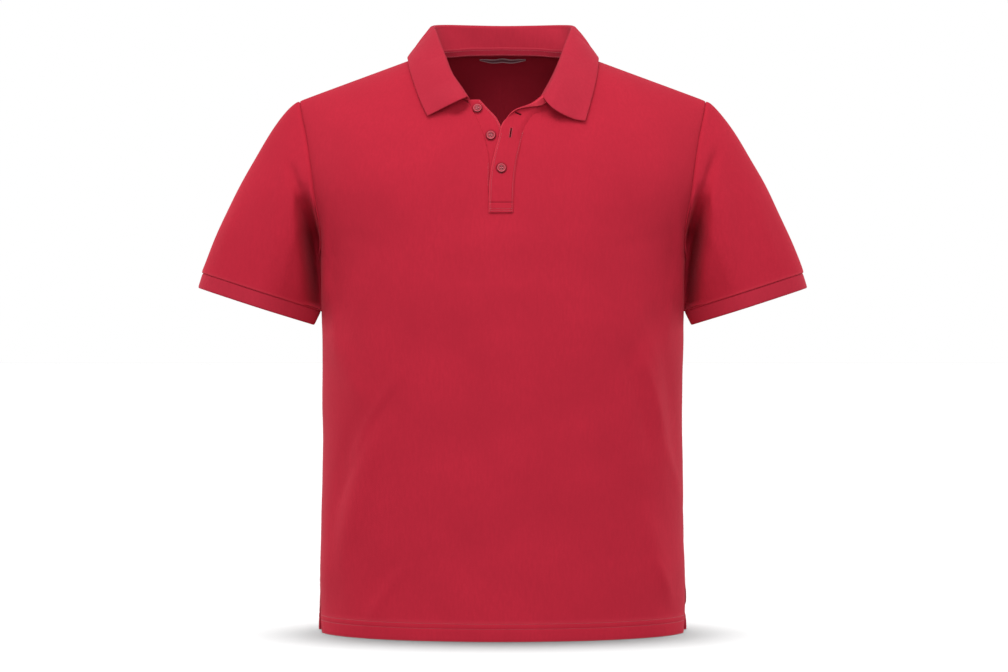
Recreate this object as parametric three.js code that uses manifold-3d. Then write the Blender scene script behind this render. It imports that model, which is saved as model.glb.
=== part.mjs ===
// A short-sleeved polo shirt, filled out with no wearer, in millimetres.
// +X is the wearer's left, the front faces -Y and +Z is up.
// The origin lies midway between the two points where the shoulder seams meet the collar.
import * as THREE from 'three';
import Module from 'manifold-3d';
import { mergeVertices } from 'three/addons/utils/BufferGeometryUtils.js';

const wasm = await Module();
wasm.setup();

// Driving sizes
const CLOTH = 1.8;
const HEM_CLOTH = 3.4;
const RIB = 2.2;
const SEAM_GAP = 0.3;
const HEM_Z = -760;
const HEM_DEPTH = 22;
const VENT_HEIGHT = 70;
const UNDERARM_Z = -270;
const TIP = { x: 268, z: -61.4 };
const NECK_SIDE = { x: 90, z: 3.7 };
const CUFF_DEPTH = 20;
const SLOT_FOOT_Z = -192.7;
const SLOT_ROW_REACH = 6;
const BUTTON_RADIUS = 5.9;
const LABEL = { width: 63, height: 11, thickness: 0.9 };
const TAPE = { width: 9, thickness: 0.9, reach: 76, drop: 0.6, gap: 1.6 };
const INSIDE_GAP = 1.1;

const RED = 0xb82a3e;
const RIB_RED = 0xbd3044;
const DARK_RED = 0xa32437;

const radians = THREE.MathUtils.degToRad;
const lerp = THREE.MathUtils.lerp;
const smooth = THREE.MathUtils.smoothstep;

// Smooth curve through a table's rows: the value in one column at a place along the key column.
function along(table, key, column, at) {
  const last = table.length - 1;
  const rising = table[last][key] > table[0][key];
  const inside = THREE.MathUtils.clamp(at, ...(rising
    ? [table[0][key], table[last][key]] : [table[last][key], table[0][key]]));
  let i = 0;
  while (i < last - 1 && (rising ? inside > table[i + 1][key] : inside < table[i + 1][key])) i += 1;
  const slope = (a, b) => (table[b][column] - table[a][column]) / (table[b][key] - table[a][key]);
  const step = table[i + 1][key] - table[i][key];
  const t = (inside - table[i][key]) / step;
  const start = slope(Math.max(i - 1, 0), i + 1) * step;
  const end = slope(i, Math.min(i + 2, last)) * step;
  return (2 * t ** 3 - 3 * t ** 2 + 1) * table[i][column] + (t ** 3 - 2 * t ** 2 + t) * start
    + (3 * t ** 2 - 2 * t ** 3) * table[i + 1][column] + (t ** 3 - t ** 2) * end;
}

// Torso sections from the hem up: half width, and depth to the front and to the back.
const TORSO = [
  { z: -760, half: 243, front: 134, back: 134 },
  { z: -690, half: 240, front: 134, back: 132 },
  { z: -600, half: 238, front: 136, back: 130 },
  { z: -450, half: 237, front: 142, back: 130 },
  { z: -337, half: 238.5, front: 148, back: 134 },
  { z: -270, half: 240, front: 149, back: 139 },
  { z: -238, half: 246, front: 148, back: 141 },
  { z: -179, half: 264.5, front: 142, back: 142 },
  { z: -112, half: 273.7, front: 126, back: 136 },
  { z: -61, half: 277, front: 114, back: 129 },
  { z: 40, half: 277, front: 108, back: 122 },
];

// Height of the shoulder ridge above each place across: straight to the tip, rising to the neck.
const RIDGE = [
  { x: 0, z: 33 },
  { x: 30, z: 30.5 },
  { x: 60, z: 21 },
  { x: 90, z: 3.7 },
  { x: 120, z: -7.3 },
  { x: 194, z: -34.4 },
  { x: 268, z: -61.4 },
  { x: 300, z: -73.1 },
];
const RIDGE_FALL = { front: 150, back: 132 };
const BOXINESS = 0.88;
const PROBE = 0.5;

// Armhole edge from the shoulder tip down to the underarm: turn of the torso section, in degrees.
const ARMHOLE = [
  { share: 0, front: 75.3, back: 75.3 },
  { share: 1 / 6, front: 71.4, back: 72.6 },
  { share: 2 / 6, front: 66.4, back: 69.4 },
  { share: 3 / 6, front: 64.8, back: 68.2 },
  { share: 4 / 6, front: 68.9, back: 71 },
  { share: 5 / 6, front: 77.4, back: 78.8 },
  { share: 1, front: 90, back: 90 },
];

// Neck edge: height at each place across, from the middle out to the shoulder seam.
const FRONT_NECK = [
  { x: 44, z: -73 },
  { x: 58, z: -62 },
  { x: 70, z: -46 },
  { x: 80, z: -27 },
  { x: 86.5, z: -10 },
  { x: 90, z: 3.7 },
];
const BACK_NECK = [
  { x: 0, z: 14 },
  { x: 45, z: 12.3 },
  { x: 75, z: 7.5 },
  { x: 90, z: 3.7 },
];

// Placket slot from its foot up: the two cut edges across the front.
const SLOT = [
  { z: -760, left: -46, right: 42 },
  { z: -205, left: -17.2, right: 11.9 },
  { z: -173, left: -16.9, right: 13.2 },
  { z: -148, left: -17.2, right: 17 },
  { z: -126, left: -21.5, right: 22 },
  { z: -103.5, left: -29.5, right: 28.4 },
  { z: -88, left: -36.5, right: 37.5 },
  { z: -70, left: -45, right: 54 },
];

// Under band's free edge from its foot up.
const UNDER_EDGE = [
  { z: -190, x: 10.5 },
  { z: -150, x: 8.5 },
  { z: -125, x: 3.5 },
  { z: -106.7, x: -2.1 },
  { z: -93.7, x: -8.4 },
  { z: -82.4, x: -18.6 },
  { z: -70, x: -29.5 },
];

// Upper band from its foot up: its free edge as seen, its sewn edge, how far the free edge stands
// off the chest, and how much of the band is turned back on itself beside the open neck.
const UPPER_BAND = [
  { at: 0, freeX: -17.5, freeZ: -216, sewnX: 13.5, sewnZ: -216, lift: 0, turned: 0 },
  { at: 1, freeX: -17, freeZ: -195, sewnX: 13.8, sewnZ: -195, lift: 0, turned: 0 },
  { at: 2, freeX: -16, freeZ: -173.4, sewnX: 15.2, sewnZ: -171, lift: 0, turned: 0 },
  { at: 3, freeX: -11.8, freeZ: -148, sewnX: 18.8, sewnZ: -147, lift: 0.3, turned: 0 },
  { at: 4, freeX: -4.9, freeZ: -121, sewnX: 25.3, sewnZ: -121, lift: 1, turned: 0 },
  { at: 5, freeX: -1.5, freeZ: -106.5, sewnX: 30.4, sewnZ: -106, lift: 2, turned: 0 },
  { at: 6, freeX: 4.3, freeZ: -97.5, sewnX: 35.5, sewnZ: -97.5, lift: 3, turned: 0.5 },
  { at: 7, freeX: 14.5, freeZ: -87, sewnX: 41.5, sewnZ: -90, lift: 4, turned: 3 },
  { at: 8, freeX: 35, freeZ: -79.5, sewnX: 49, sewnZ: -85, lift: 5, turned: 8 },
  { at: 9, freeX: 47.5, freeZ: -73, sewnX: 55, sewnZ: -80.5, lift: 4, turned: 10 },
];
const TURN_LIFT = 4.6;
const TURN_RISE = 4;
const BAND_GAP = 0.5;
const BUTTON_GAP = 0.35;

// Largest soft folds: a line over the cloth, the fold's width and its height (a trough is negative).
const FRONT_FOLDS = [
  { x0: -150, z0: -480, x1: -215, z1: -690, width: 17, height: 3.2 },
  { x0: -186, z0: -470, x1: -222, z1: -640, width: 13, height: -2.6 },
  { x0: -222, z0: -350, x1: -170, z1: -470, width: 15, height: 2.4 },
  { x0: -228, z0: -560, x1: -231, z1: -735, width: 9, height: 2.6 },
  { x0: 170, z0: -330, x1: 214, z1: -560, width: 15, height: 3.2 },
  { x0: 205, z0: -390, x1: 226, z1: -570, width: 11, height: -2.6 },
  { x0: 178, z0: -590, x1: 216, z1: -720, width: 15, height: 2.4 },
  { x0: 205, z0: -320, x1: 150, z1: -420, width: 16, height: -2 },
];
const BACK_FOLDS = [
  { x0: -205, z0: -300, x1: -120, z1: -430, width: 18, height: 3 },
  { x0: 205, z0: -300, x1: 128, z1: -450, width: 18, height: 3 },
  { x0: -150, z0: -500, x1: -205, z1: -700, width: 17, height: 3.4 },
  { x0: 150, z0: -480, x1: 212, z1: -690, width: 17, height: 3.2 },
  { x0: -70, z0: -560, x1: -90, z1: -740, width: 20, height: -2.4 },
  { x0: 60, z0: -540, x1: 92, z1: -735, width: 20, height: -2.6 },
];

function foldHeight(side, x, z) {
  let height = 0;
  for (const fold of side < 0 ? FRONT_FOLDS : BACK_FOLDS) {
    const dx = fold.x1 - fold.x0;
    const dz = fold.z1 - fold.z0;
    const length = Math.hypot(dx, dz);
    const place = ((x - fold.x0) * dx + (z - fold.z0) * dz) / length ** 2;
    const across = ((x - fold.x0) * dz - (z - fold.z0) * dx) / length;
    const ends = smooth(place, -0.1, 0.35) * (1 - smooth(place, 0.65, 1.1));
    height += fold.height * ends * Math.exp(-((across / fold.width) ** 2));
  }
  return height;
}

const halfWidth = (z) => along(TORSO, 'z', 'half', z);
const ridge = (x) => along(RIDGE, 'x', 'z', Math.abs(x));

// Square of the torso's depth at a place across and up: zero on the shoulder ridge and the sides.
function depthSquared(side, x, z) {
  const depth = along(TORSO, 'z', side < 0 ? 'front' : 'back', z);
  const round = 1 - (x / halfWidth(z)) ** 2;
  const fall = (ridge(x) - z) / (side < 0 ? RIDGE_FALL.front : RIDGE_FALL.back);
  const top = fall < 1 ? fall * (2 - fall) : 1;
  return depth ** 2 * Math.sign(round) * Math.abs(round) ** BOXINESS * top;
}

// Direction out of the torso's surface at one of its points.
function torsoNormal(side, point) {
  const slopeX = depthSquared(side, point.x + PROBE, point.z) - depthSquared(side, point.x - PROBE, point.z);
  const slopeZ = depthSquared(side, point.x, point.z + PROBE) - depthSquared(side, point.x, point.z - PROBE);
  return new THREE.Vector3(-slopeX / (2 * PROBE), 2 * point.y, -slopeZ / (2 * PROBE)).normalize();
}

function torsoAt(side, x, z) {
  const depth = Math.sqrt(Math.max(depthSquared(side, x, z), 0));
  return new THREE.Vector3(x, side * (depth + SEAM_GAP / 2), z);
}

// A torso point with its folds, moved out by a lift.
function lifted(side, x, z, lift) {
  const point = torsoAt(side, x, z);
  return point.addScaledVector(torsoNormal(side, point), lift + foldHeight(side, x, z));
}

const turnToX = (turn, z) => halfWidth(z) * Math.sin(radians(turn));
const xToTurn = (x, z) => THREE.MathUtils.radToDeg(Math.asin(THREE.MathUtils.clamp(x / halfWidth(z), -1, 1)));

const armholeZ = (share) => (TIP.z + UNDERARM_Z) / 2 + (TIP.z - UNDERARM_Z) / 2 * Math.cos(Math.PI * share);
const armholeTurn = (side, share) => along(ARMHOLE, 'share', side < 0 ? 'front' : 'back', share);

// A closed wall between an outer and an inner grid of points. Cells that keep() refuses are open.
function wall(outer, inner, { closed = false, keep = () => true } = {}) {
  const rows = outer.length;
  const columns = outer[0].length;
  const spans = closed ? columns : columns - 1;
  const count = rows * columns;
  const index = (i, j) => i * columns + (j % columns);
  const kept = (i, j) => i >= 0 && i < rows - 1 && (closed || (j >= 0 && j < spans))
    && keep(i, (j + spans) % spans);
  const faces = [];
  const quad = (a, b, c, d) => faces.push([a, b, c], [a, c, d]);
  for (let i = 0; i < rows - 1; i += 1) {
    for (let j = 0; j < spans; j += 1) {
      if (!kept(i, j)) continue;
      const [a, b, c, d] = [index(i, j), index(i, j + 1), index(i + 1, j + 1), index(i + 1, j)];
      quad(a, b, c, d);
      quad(d + count, c + count, b + count, a + count);
      if (!kept(i - 1, j)) quad(b, a, a + count, b + count);
      if (!kept(i + 1, j)) quad(d, c, c + count, d + count);
      if (!kept(i, j - 1)) quad(a, d, d + count, a + count);
      if (!kept(i, j + 1)) quad(c, b, b + count, c + count);
    }
  }
  return solid([...outer.flat(), ...inner.flat()], faces);
}

// Geometry from points and faces, with the faces turned to point out.
function solid(points, faces) {
  let volume = 0;
  const normal = new THREE.Vector3();
  for (const [a, b, c] of faces) volume += normal.crossVectors(points[a], points[b]).dot(points[c]);
  const used = new Map();
  const vertex = (i) => used.get(i) ?? used.set(i, used.size).get(i);
  const order = faces.flatMap(([a, b, c]) => (volume > 0 ? [a, b, c] : [a, c, b])).map(vertex);
  const positions = [...used.keys()].flatMap((i) => points[i].toArray());
  const geometry = new THREE.BufferGeometry();
  geometry.setAttribute('position', new THREE.Float32BufferAttribute(positions, 3));
  geometry.setIndex(order);
  geometry.computeVertexNormals();
  return geometry;
}

// Normals of a free grid of points, from its neighbours; closed grids wrap round their columns.
function gridNormals(grid, closed = false) {
  const rows = grid.length;
  const columns = grid[0].length;
  const pick = (i, j) => grid[THREE.MathUtils.clamp(i, 0, rows - 1)][
    closed ? (j + columns) % columns : THREE.MathUtils.clamp(j, 0, columns - 1)];
  return grid.map((row, i) => row.map((_, j) => {
    const down = pick(i + 1, j).clone().sub(pick(i - 1, j));
    const across = pick(i, j + 1).clone().sub(pick(i, j - 1));
    return across.cross(down).normalize();
  }));
}

const offsetGrid = (grid, normals, distance) => grid.map((row, i) => row.map(
  (point, j) => point.clone().addScaledVector(normals[i][j], distance)));

// Rows of a panel from the hem to the underarm, then along the armhole to the shoulder tip.
const HEM_STEP = 1.5;
const LOW_ROWS = [HEM_Z, HEM_Z + HEM_DEPTH, HEM_Z + HEM_DEPTH + HEM_STEP, -714, HEM_Z + VENT_HEIGHT,
  -645, -600, -555, -510, -465, -420, -375, -333, -300];
const ARMHOLE_STEPS = 12;
const RISE_START = UNDERARM_Z - 60;

function panelRows(side, ventTurn) {
  const low = LOW_ROWS.map((z) => {
    const open = Math.max(0, HEM_Z + VENT_HEIGHT - z) / VENT_HEIGHT;
    return { z, edge: 90 - ventTurn * open };
  });
  const high = Array.from({ length: ARMHOLE_STEPS + 1 }, (_, i) => {
    const share = 1 - i / ARMHOLE_STEPS;
    return { z: armholeZ(share), edge: armholeTurn(side, share) };
  });
  return [...low, ...high];
}

// Spreads places between guides, the given number of steps in each span.
function spread(guides, steps) {
  const places = [guides[0]];
  steps.forEach((count, span) => {
    for (let k = 1; k <= count; k += 1) places.push(lerp(guides[span], guides[span + 1], k / count));
  });
  return places;
}

// Turn, in degrees, of the column that ends at the neck's side: on the low rows and at the top.
const NECK_GUIDE = { low: 33, top: xToTurn(NECK_SIDE.x, NECK_SIDE.z) };

// Outer grid of a panel, from turn guides for each row and a neck edge for its top.
function panelGrid(side, ventTurn, steps, guidesAt, neckTable) {
  const topGuides = guidesAt(ARMHOLE[0][side < 0 ? 'front' : 'back'], TIP.z, 1);
  const tops = spread(topGuides, steps).map((turn) => {
    let z = TIP.z;
    for (let pass = 0; pass < 8; pass += 1) {
      const x = Math.abs(turnToX(turn, z));
      z = x > NECK_SIDE.x - 0.01 ? ridge(x) : along(neckTable, 'x', 'z', x);
    }
    return z;
  });
  return panelRows(side, ventTurn).map(({ z, edge }) => {
    const rise = smooth(z, RISE_START, TIP.z);
    return spread(guidesAt(edge, z, rise), steps).map((turn, j) => {
      const height = z + (tops[j] - TIP.z) * rise;
      return { x: turnToX(turn, height), z: height };
    });
  });
}

function panel(side, grid, keep) {
  const outer = grid.map((row) => row.map(({ x, z }) => lifted(side, x, z, 0)));
  const inner = grid.map((row, i) => row.map(({ x, z }) => lifted(side, x, z, i < 2 ? -HEM_CLOTH : -CLOTH)));
  return wall(outer, inner, { keep });
}

// Columns in each span between the guides, and how far each panel opens at the vent's foot.
const FRONT_STEPS = [7, 6, 2, 6, 7];
const BACK_STEPS = [7, 12, 7];
const FRONT_VENT_TURN = 9;
const BACK_VENT_TURN = 0;

function frontPanel() {
  const guidesAt = (edge, z, rise) => {
    const neck = lerp(NECK_GUIDE.low, NECK_GUIDE.top, rise);
    const slotZ = z + (FRONT_NECK[0].z - TIP.z) * rise;
    const cut = (column) => xToTurn(along(SLOT, 'z', column, slotZ), slotZ);
    return [-edge, -neck, cut('left'), cut('right'), neck, edge];
  };
  const grid = panelGrid(-1, FRONT_VENT_TURN, FRONT_STEPS, guidesAt, FRONT_NECK);
  const slotStart = FRONT_STEPS[0] + FRONT_STEPS[1];
  const slotRow = grid.findIndex((row) => row[slotStart].z > SLOT_FOOT_Z - SLOT_ROW_REACH);
  const keep = (i, j) => i < slotRow || j < slotStart || j >= slotStart + FRONT_STEPS[2];
  return panel(-1, grid, keep);
}

function backPanel() {
  const guidesAt = (edge, z, rise) => {
    const neck = lerp(NECK_GUIDE.low, NECK_GUIDE.top, rise);
    return [-edge, -neck, neck, edge];
  };
  return panel(1, panelGrid(1, BACK_VENT_TURN, BACK_STEPS, guidesAt, BACK_NECK));
}

// Cuff opening of the wearer's right sleeve: its centre, tilt in degrees and two radii.
const CUFF = { x: -325.7, y: -6, z: -332, tilt: 18, wide: 79.6, deep: 41 };
const CUFF_AXIS = new THREE.Vector3(-Math.sin(radians(CUFF.tilt)), 0, -Math.cos(radians(CUFF.tilt)));
const CUFF_OUT = new THREE.Vector3(-Math.cos(radians(CUFF.tilt)), 0, Math.sin(radians(CUFF.tilt)));
const SLEEVE_OVERHANG = 1.2;
const SLEEVE_SEAM = { away: 0.7, awayUnder: 0.35, outUnder: 0.75, underFrom: 0.55, underTo: 0.9 };
const AROUND = 2 * ARMHOLE_STEPS;

// How the sleeve leaves the armhole at its top, front or back, and underarm, and how it arrives.
const SLEEVE_LEAVE = [
  { share: 0, x: -100, y: 0, z: -38, arrive: 180 },
  { share: 0.25, x: -104, y: 16, z: -50, arrive: 150 },
  { share: 0.5, x: -86, y: 12, z: -64, arrive: 120 },
  { share: 0.75, x: -46, y: 2, z: -70, arrive: 84 },
  { share: 1, x: -10, y: 0, z: -62, arrive: 58 },
];

function cuffPoint(angle, up, inset) {
  return new THREE.Vector3(CUFF.x, CUFF.y, CUFF.z)
    .addScaledVector(CUFF_AXIS, -up)
    .addScaledVector(CUFF_OUT, (CUFF.wide - inset) * Math.cos(angle))
    .add(new THREE.Vector3(0, -(CUFF.deep - inset) * Math.sin(angle), 0));
}

// Armhole place by angle: 0 at the shoulder tip, a quarter turn at the front, half at the underarm.
function armholePoint(angle) {
  const share = angle <= Math.PI ? angle / Math.PI : 2 - angle / Math.PI;
  const side = angle <= Math.PI ? -1 : 1;
  const z = armholeZ(share);
  const point = torsoAt(side, -turnToX(armholeTurn(side, share), z), z);
  return { share, side, point, normal: torsoNormal(side, point) };
}

const SLEEVE_ROWS = 10;
const EDGE_PROBE = 0.02;

function sleeveGrid() {
  const angles = Array.from({ length: AROUND }, (_, j) => (2 * Math.PI * j) / AROUND);
  const starts = angles.map((angle) => {
    const here = armholePoint(angle);
    const ahead = armholePoint((angle + EDGE_PROBE) % (2 * Math.PI)).point;
    const behind = armholePoint((angle - EDGE_PROBE + 2 * Math.PI) % (2 * Math.PI)).point;
    const away = ahead.sub(behind).cross(here.normal).normalize();
    const under = smooth(here.share, SLEEVE_SEAM.underFrom, SLEEVE_SEAM.underTo);
    return here.point.clone()
      .addScaledVector(away, lerp(SLEEVE_SEAM.away, SLEEVE_SEAM.awayUnder, under))
      .addScaledVector(here.normal, SLEEVE_SEAM.outUnder * under);
  });
  return Array.from({ length: SLEEVE_ROWS + 1 }, (_, i) => angles.map((angle, j) => {
    const share = angle <= Math.PI ? angle / Math.PI : 2 - angle / Math.PI;
    const side = angle <= Math.PI ? -1 : 1;
    const leave = (column) => along(SLEEVE_LEAVE, 'share', column, share);
    const end = cuffPoint(angle, CUFF_DEPTH + SEAM_GAP, -SLEEVE_OVERHANG);
    const t = i / SLEEVE_ROWS;
    const start = new THREE.Vector3(leave('x'), side * leave('y'), leave('z'));
    return starts[j].clone().multiplyScalar(2 * t ** 3 - 3 * t ** 2 + 1)
      .addScaledVector(start, t ** 3 - 2 * t ** 2 + t)
      .addScaledVector(end, 3 * t ** 2 - 2 * t ** 3)
      .addScaledVector(CUFF_AXIS, (t ** 3 - t ** 2) * leave('arrive'));
  }));
}

const mirrored = (grid, side) => grid.map((row) => row.map((p) => new THREE.Vector3(side * p.x, p.y, p.z)));

function sleeve(side) {
  const outer = sleeveGrid();
  const inner = offsetGrid(outer, gridNormals(outer, true), CLOTH);
  return wall(mirrored(outer, side), mirrored(inner, side), { closed: true });
}

function cuff(side) {
  const rows = 3;
  const up = (i) => (CUFF_DEPTH - SEAM_GAP / 2) * (1 - i / rows);
  const ring = (inset) => Array.from({ length: rows + 1 }, (_, i) => Array.from({ length: AROUND },
    (_unused, j) => cuffPoint((2 * Math.PI * j) / AROUND, up(i), inset)));
  return wall(mirrored(ring(0), side), mirrored(ring(RIB), side), { closed: true });
}

// Collar from its right front end round the back to its left front end: fold and leaf edge.
const COLLAR = [
  { fx: -44.5, fy: -104, fz: -65, lx: -95.4, lz: -94 },
  { fx: -56, fy: -95.5, fz: -50, lx: -103.5, lz: -74 },
  { fx: -68, fy: -79, fz: -31, lx: -111, lz: -54 },
  { fx: -76.5, fy: -58, fz: -9, lx: -117.5, lz: -34 },
  { fx: -84.5, fy: -33, fz: 13, lx: -121.5, lz: -18 },
  { fx: -91, fy: -4, fz: 32, lx: -123.5, lz: -7.3 },
  { fx: -93, fy: 24, fz: 41, lx: -118, lz: -11.5 },
  { fx: -78, fy: 47, fz: 45, lx: -97, lz: -12 },
  { fx: -42, fy: 60, fz: 46, lx: -53, lz: -8 },
  { fx: 0, fy: 64, fz: 46, lx: 0, lz: -6 },
  { fx: 42, fy: 60, fz: 46, lx: 53, lz: -8 },
  { fx: 78, fy: 47, fz: 45, lx: 97, lz: -12 },
  { fx: 93, fy: 24, fz: 41, lx: 118, lz: -11.5 },
  { fx: 92, fy: -4, fz: 32, lx: 124, lz: -7.3 },
  { fx: 84.5, fy: -34, fz: 11, lx: 123, lz: -20 },
  { fx: 76, fy: -60, fz: -13, lx: 119.5, lz: -41 },
  { fx: 65, fy: -82, fz: -38, lx: 113, lz: -68 },
  { fx: 51, fy: -103, fz: -63, lx: 104, lz: -99 },
].map((row, at) => ({ ...row, at }));
const COLLAR_STEPS = 34;
const COLLAR_BACK_START = 5;
const COLLAR_BACK_END = 13;
const FOLD_RADIUS = 3.2;
const LEAF_CLEARANCE = 2.6;
const ROLL_CLEARANCE = 2.2;
const STAND_LIFT = 2.1;
const COLLAR_FOOT = { right: 48, left: 54.5 };
const LEAF_EDGE_LIFT = 4.1;
const LEAF_BOW = { share: 0.4, out: 3, up: 3 };

// The neck edge that the collar stands on, at a place along the collar.
function neckAt(place) {
  const last = COLLAR.length - 1;
  const middle = last / 2;
  const sign = place < middle ? -1 : 1;
  const back = place > COLLAR_BACK_START && place < COLLAR_BACK_END;
  const middleShare = Math.abs(place - middle) / (middle - COLLAR_BACK_START);
  const frontSpan = sign < 0 ? COLLAR_BACK_START : last - COLLAR_BACK_END;
  const frontPlace = sign < 0 ? place : last - place;
  const frontEnd = sign < 0 ? COLLAR_FOOT.right : COLLAR_FOOT.left;
  const x = back ? NECK_SIDE.x * Math.sin((Math.PI / 2) * Math.min(middleShare, 1))
    : lerp(frontEnd, NECK_SIDE.x, Math.sin((Math.PI / 2) * frontPlace / frontSpan));
  const z = along(back ? BACK_NECK : FRONT_NECK, 'x', 'z', x);
  const side = back ? 1 : -1;
  const point = torsoAt(side, sign * x, z);
  return { point, normal: torsoNormal(side, point), side };
}

// Moves a point out of the torso until it has the clearance.
function clearOfTorso(point, clearance) {
  const moved = point.clone();
  for (let pass = 0; pass < 4; pass += 1) {
    const side = moved.y < 0 ? -1 : 1;
    const value = (p) => p.y ** 2 - depthSquared(side, p.x, p.z);
    const here = value(moved);
    const slope = new THREE.Vector3(
      value(moved.clone().setX(moved.x + PROBE)) - value(moved.clone().setX(moved.x - PROBE)),
      value(moved.clone().setY(moved.y + PROBE)) - value(moved.clone().setY(moved.y - PROBE)),
      value(moved.clone().setZ(moved.z + PROBE)) - value(moved.clone().setZ(moved.z - PROBE)),
    ).divideScalar(2 * PROBE);
    const distance = here / Math.max(slope.length(), 1);
    if (distance > clearance - 0.05) break;
    moved.addScaledVector(slope.normalize(), clearance - distance);
  }
  return moved;
}

function collarSection(place) {
  const value = (column) => along(COLLAR, 'at', column, place);
  const fold = new THREE.Vector3(value('fx'), value('fy'), value('fz'));
  const side = place > COLLAR_BACK_START && place < COLLAR_BACK_END ? 1 : -1;
  const leafPoint = torsoAt(side, value('lx'), Math.min(value('lz'), ridge(value('lx')) - 0.2));
  const leafEdge = leafPoint.clone().addScaledVector(torsoNormal(side, leafPoint), LEAF_EDGE_LIFT);
  const out = leafEdge.clone().sub(fold).setZ(0).normalize();
  const neck = neckAt(place);
  const up = fold.clone().sub(neck.point).normalize();
  const foot = neck.point.clone().addScaledVector(neck.normal, -CLOTH / 2).addScaledVector(up, STAND_LIFT);
  const centre = fold.clone().add(new THREE.Vector3(0, 0, -FOLD_RADIUS - RIB / 2));
  const points = [];
  const standTop = centre.clone().addScaledVector(out, -FOLD_RADIUS);
  for (let k = 0; k < 3; k += 1) points.push(foot.clone().lerp(standTop, k / 3));
  for (let k = 0; k <= 4; k += 1) {
    const angle = (Math.PI * k) / 4;
    const roll = centre.clone().addScaledVector(out, -FOLD_RADIUS * Math.cos(angle))
      .add(new THREE.Vector3(0, 0, FOLD_RADIUS * Math.sin(angle)));
    points.push(k > 2 ? clearOfTorso(roll, ROLL_CLEARANCE) : roll);
  }
  const leafTop = points[points.length - 1];
  const bend = leafTop.clone().lerp(leafEdge, LEAF_BOW.share).addScaledVector(out, LEAF_BOW.out)
    .add(new THREE.Vector3(0, 0, LEAF_BOW.up));
  for (let k = 1; k <= 5; k += 1) {
    const t = k / 5;
    const leaf = leafTop.clone().multiplyScalar((1 - t) ** 2)
      .addScaledVector(bend, 2 * t * (1 - t)).addScaledVector(leafEdge, t ** 2);
    points.push(clearOfTorso(leaf, LEAF_CLEARANCE));
  }
  return points;
}

function collar() {
  const last = COLLAR.length - 1;
  const grid = Array.from({ length: COLLAR_STEPS + 1 }, (_, i) => collarSection((last * i) / COLLAR_STEPS));
  const normals = gridNormals(grid);
  return wall(offsetGrid(grid, normals, RIB / 2), offsetGrid(grid, normals, -RIB / 2));
}

// A strip that lies on a panel: a grid of places, moved out to a lower and an upper face.
function strip(side, rows, from, to) {
  const face = (lift) => rows.map((row) => row.map(
    ({ x, z, more = 0 }) => lifted(side, x, z, lift + more)));
  return wall(face(to), face(from));
}

const UNDER_INSET = { foot: 2.5, side: 1 };

function underBand() {
  const rows = 12;
  const columns = 3;
  const foot = SLOT_FOOT_Z + UNDER_INSET.foot;
  const top = UNDER_EDGE[UNDER_EDGE.length - 1].z;
  return strip(-1, Array.from({ length: rows + 1 }, (_, i) => {
    const z = lerp(foot, top, i / rows);
    const left = along(SLOT, 'z', 'left', z) + UNDER_INSET.side;
    const right = along(UNDER_EDGE, 'z', 'x', z);
    return Array.from({ length: columns + 1 }, (_unused, j) => ({ x: lerp(left, right, j / columns), z }));
  }), -RIB, 0);
}

function upperBand() {
  const rows = 18;
  const columns = 6;
  return strip(-1, Array.from({ length: rows + 1 }, (_, i) => {
    const at = (i * (UPPER_BAND.length - 1)) / rows;
    const value = (column) => along(UPPER_BAND, 'at', column, at);
    const flat = Math.hypot(value('freeX') - value('sewnX'), value('freeZ') - value('sewnZ'));
    return Array.from({ length: columns + 1 }, (_unused, j) => {
      const done = (j / columns) * (flat + value('turned'));
      const back = Math.max(done - flat, 0);
      const t = (Math.min(done, flat) - back) / flat;
      return {
        x: lerp(value('sewnX'), value('freeX'), t),
        z: lerp(value('sewnZ'), value('freeZ'), t),
        more: value('lift') * t ** 2 + TURN_LIFT * smooth(back, 0, TURN_RISE),
      };
    });
  }), BAND_GAP, BAND_GAP + RIB);
}

// Inside pieces at the back of the neck, on the back panel's inner face.

function neckTape() {
  const columns = 32;
  const rows = [TAPE.drop, TAPE.width / 2, TAPE.width];
  return strip(1, rows.map((drop) => Array.from({ length: columns + 1 }, (_, j) => {
    const x = lerp(-TAPE.reach, TAPE.reach, j / columns);
    return { x, z: along(BACK_NECK, 'x', 'z', Math.abs(x)) - drop };
  })), -CLOTH - TAPE.gap - TAPE.thickness, -CLOTH - TAPE.gap);
}

function neckLabel() {
  const columns = 8;
  const top = BACK_NECK[0].z - TAPE.width - 1;
  return strip(1, [0, LABEL.height / 2, LABEL.height].map((drop) => Array.from({ length: columns + 1 },
    (_, j) => ({ x: lerp(-LABEL.width / 2, LABEL.width / 2, j / columns), z: top - drop }))),
  -CLOTH - INSIDE_GAP - LABEL.thickness, -CLOTH - INSIDE_GAP);
}

// Button's half section from the middle of its back face out, round the raised rim and back in, in
// shares of its radius, and its four thread holes.
const BUTTON_SECTION = [
  { out: 0, up: 0 },
  { out: 0.78, up: 0 },
  { out: 1, up: 0.16 },
  { out: 1, up: 0.36 },
  { out: 0.9, up: 0.44 },
  { out: 0.72, up: 0.38 },
  { out: 0.6, up: 0.3 },
  { out: 0, up: 0.3 },
];
const THREAD_HOLE = { radius: 0.8, offset: 1.25, length: 12 };

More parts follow.
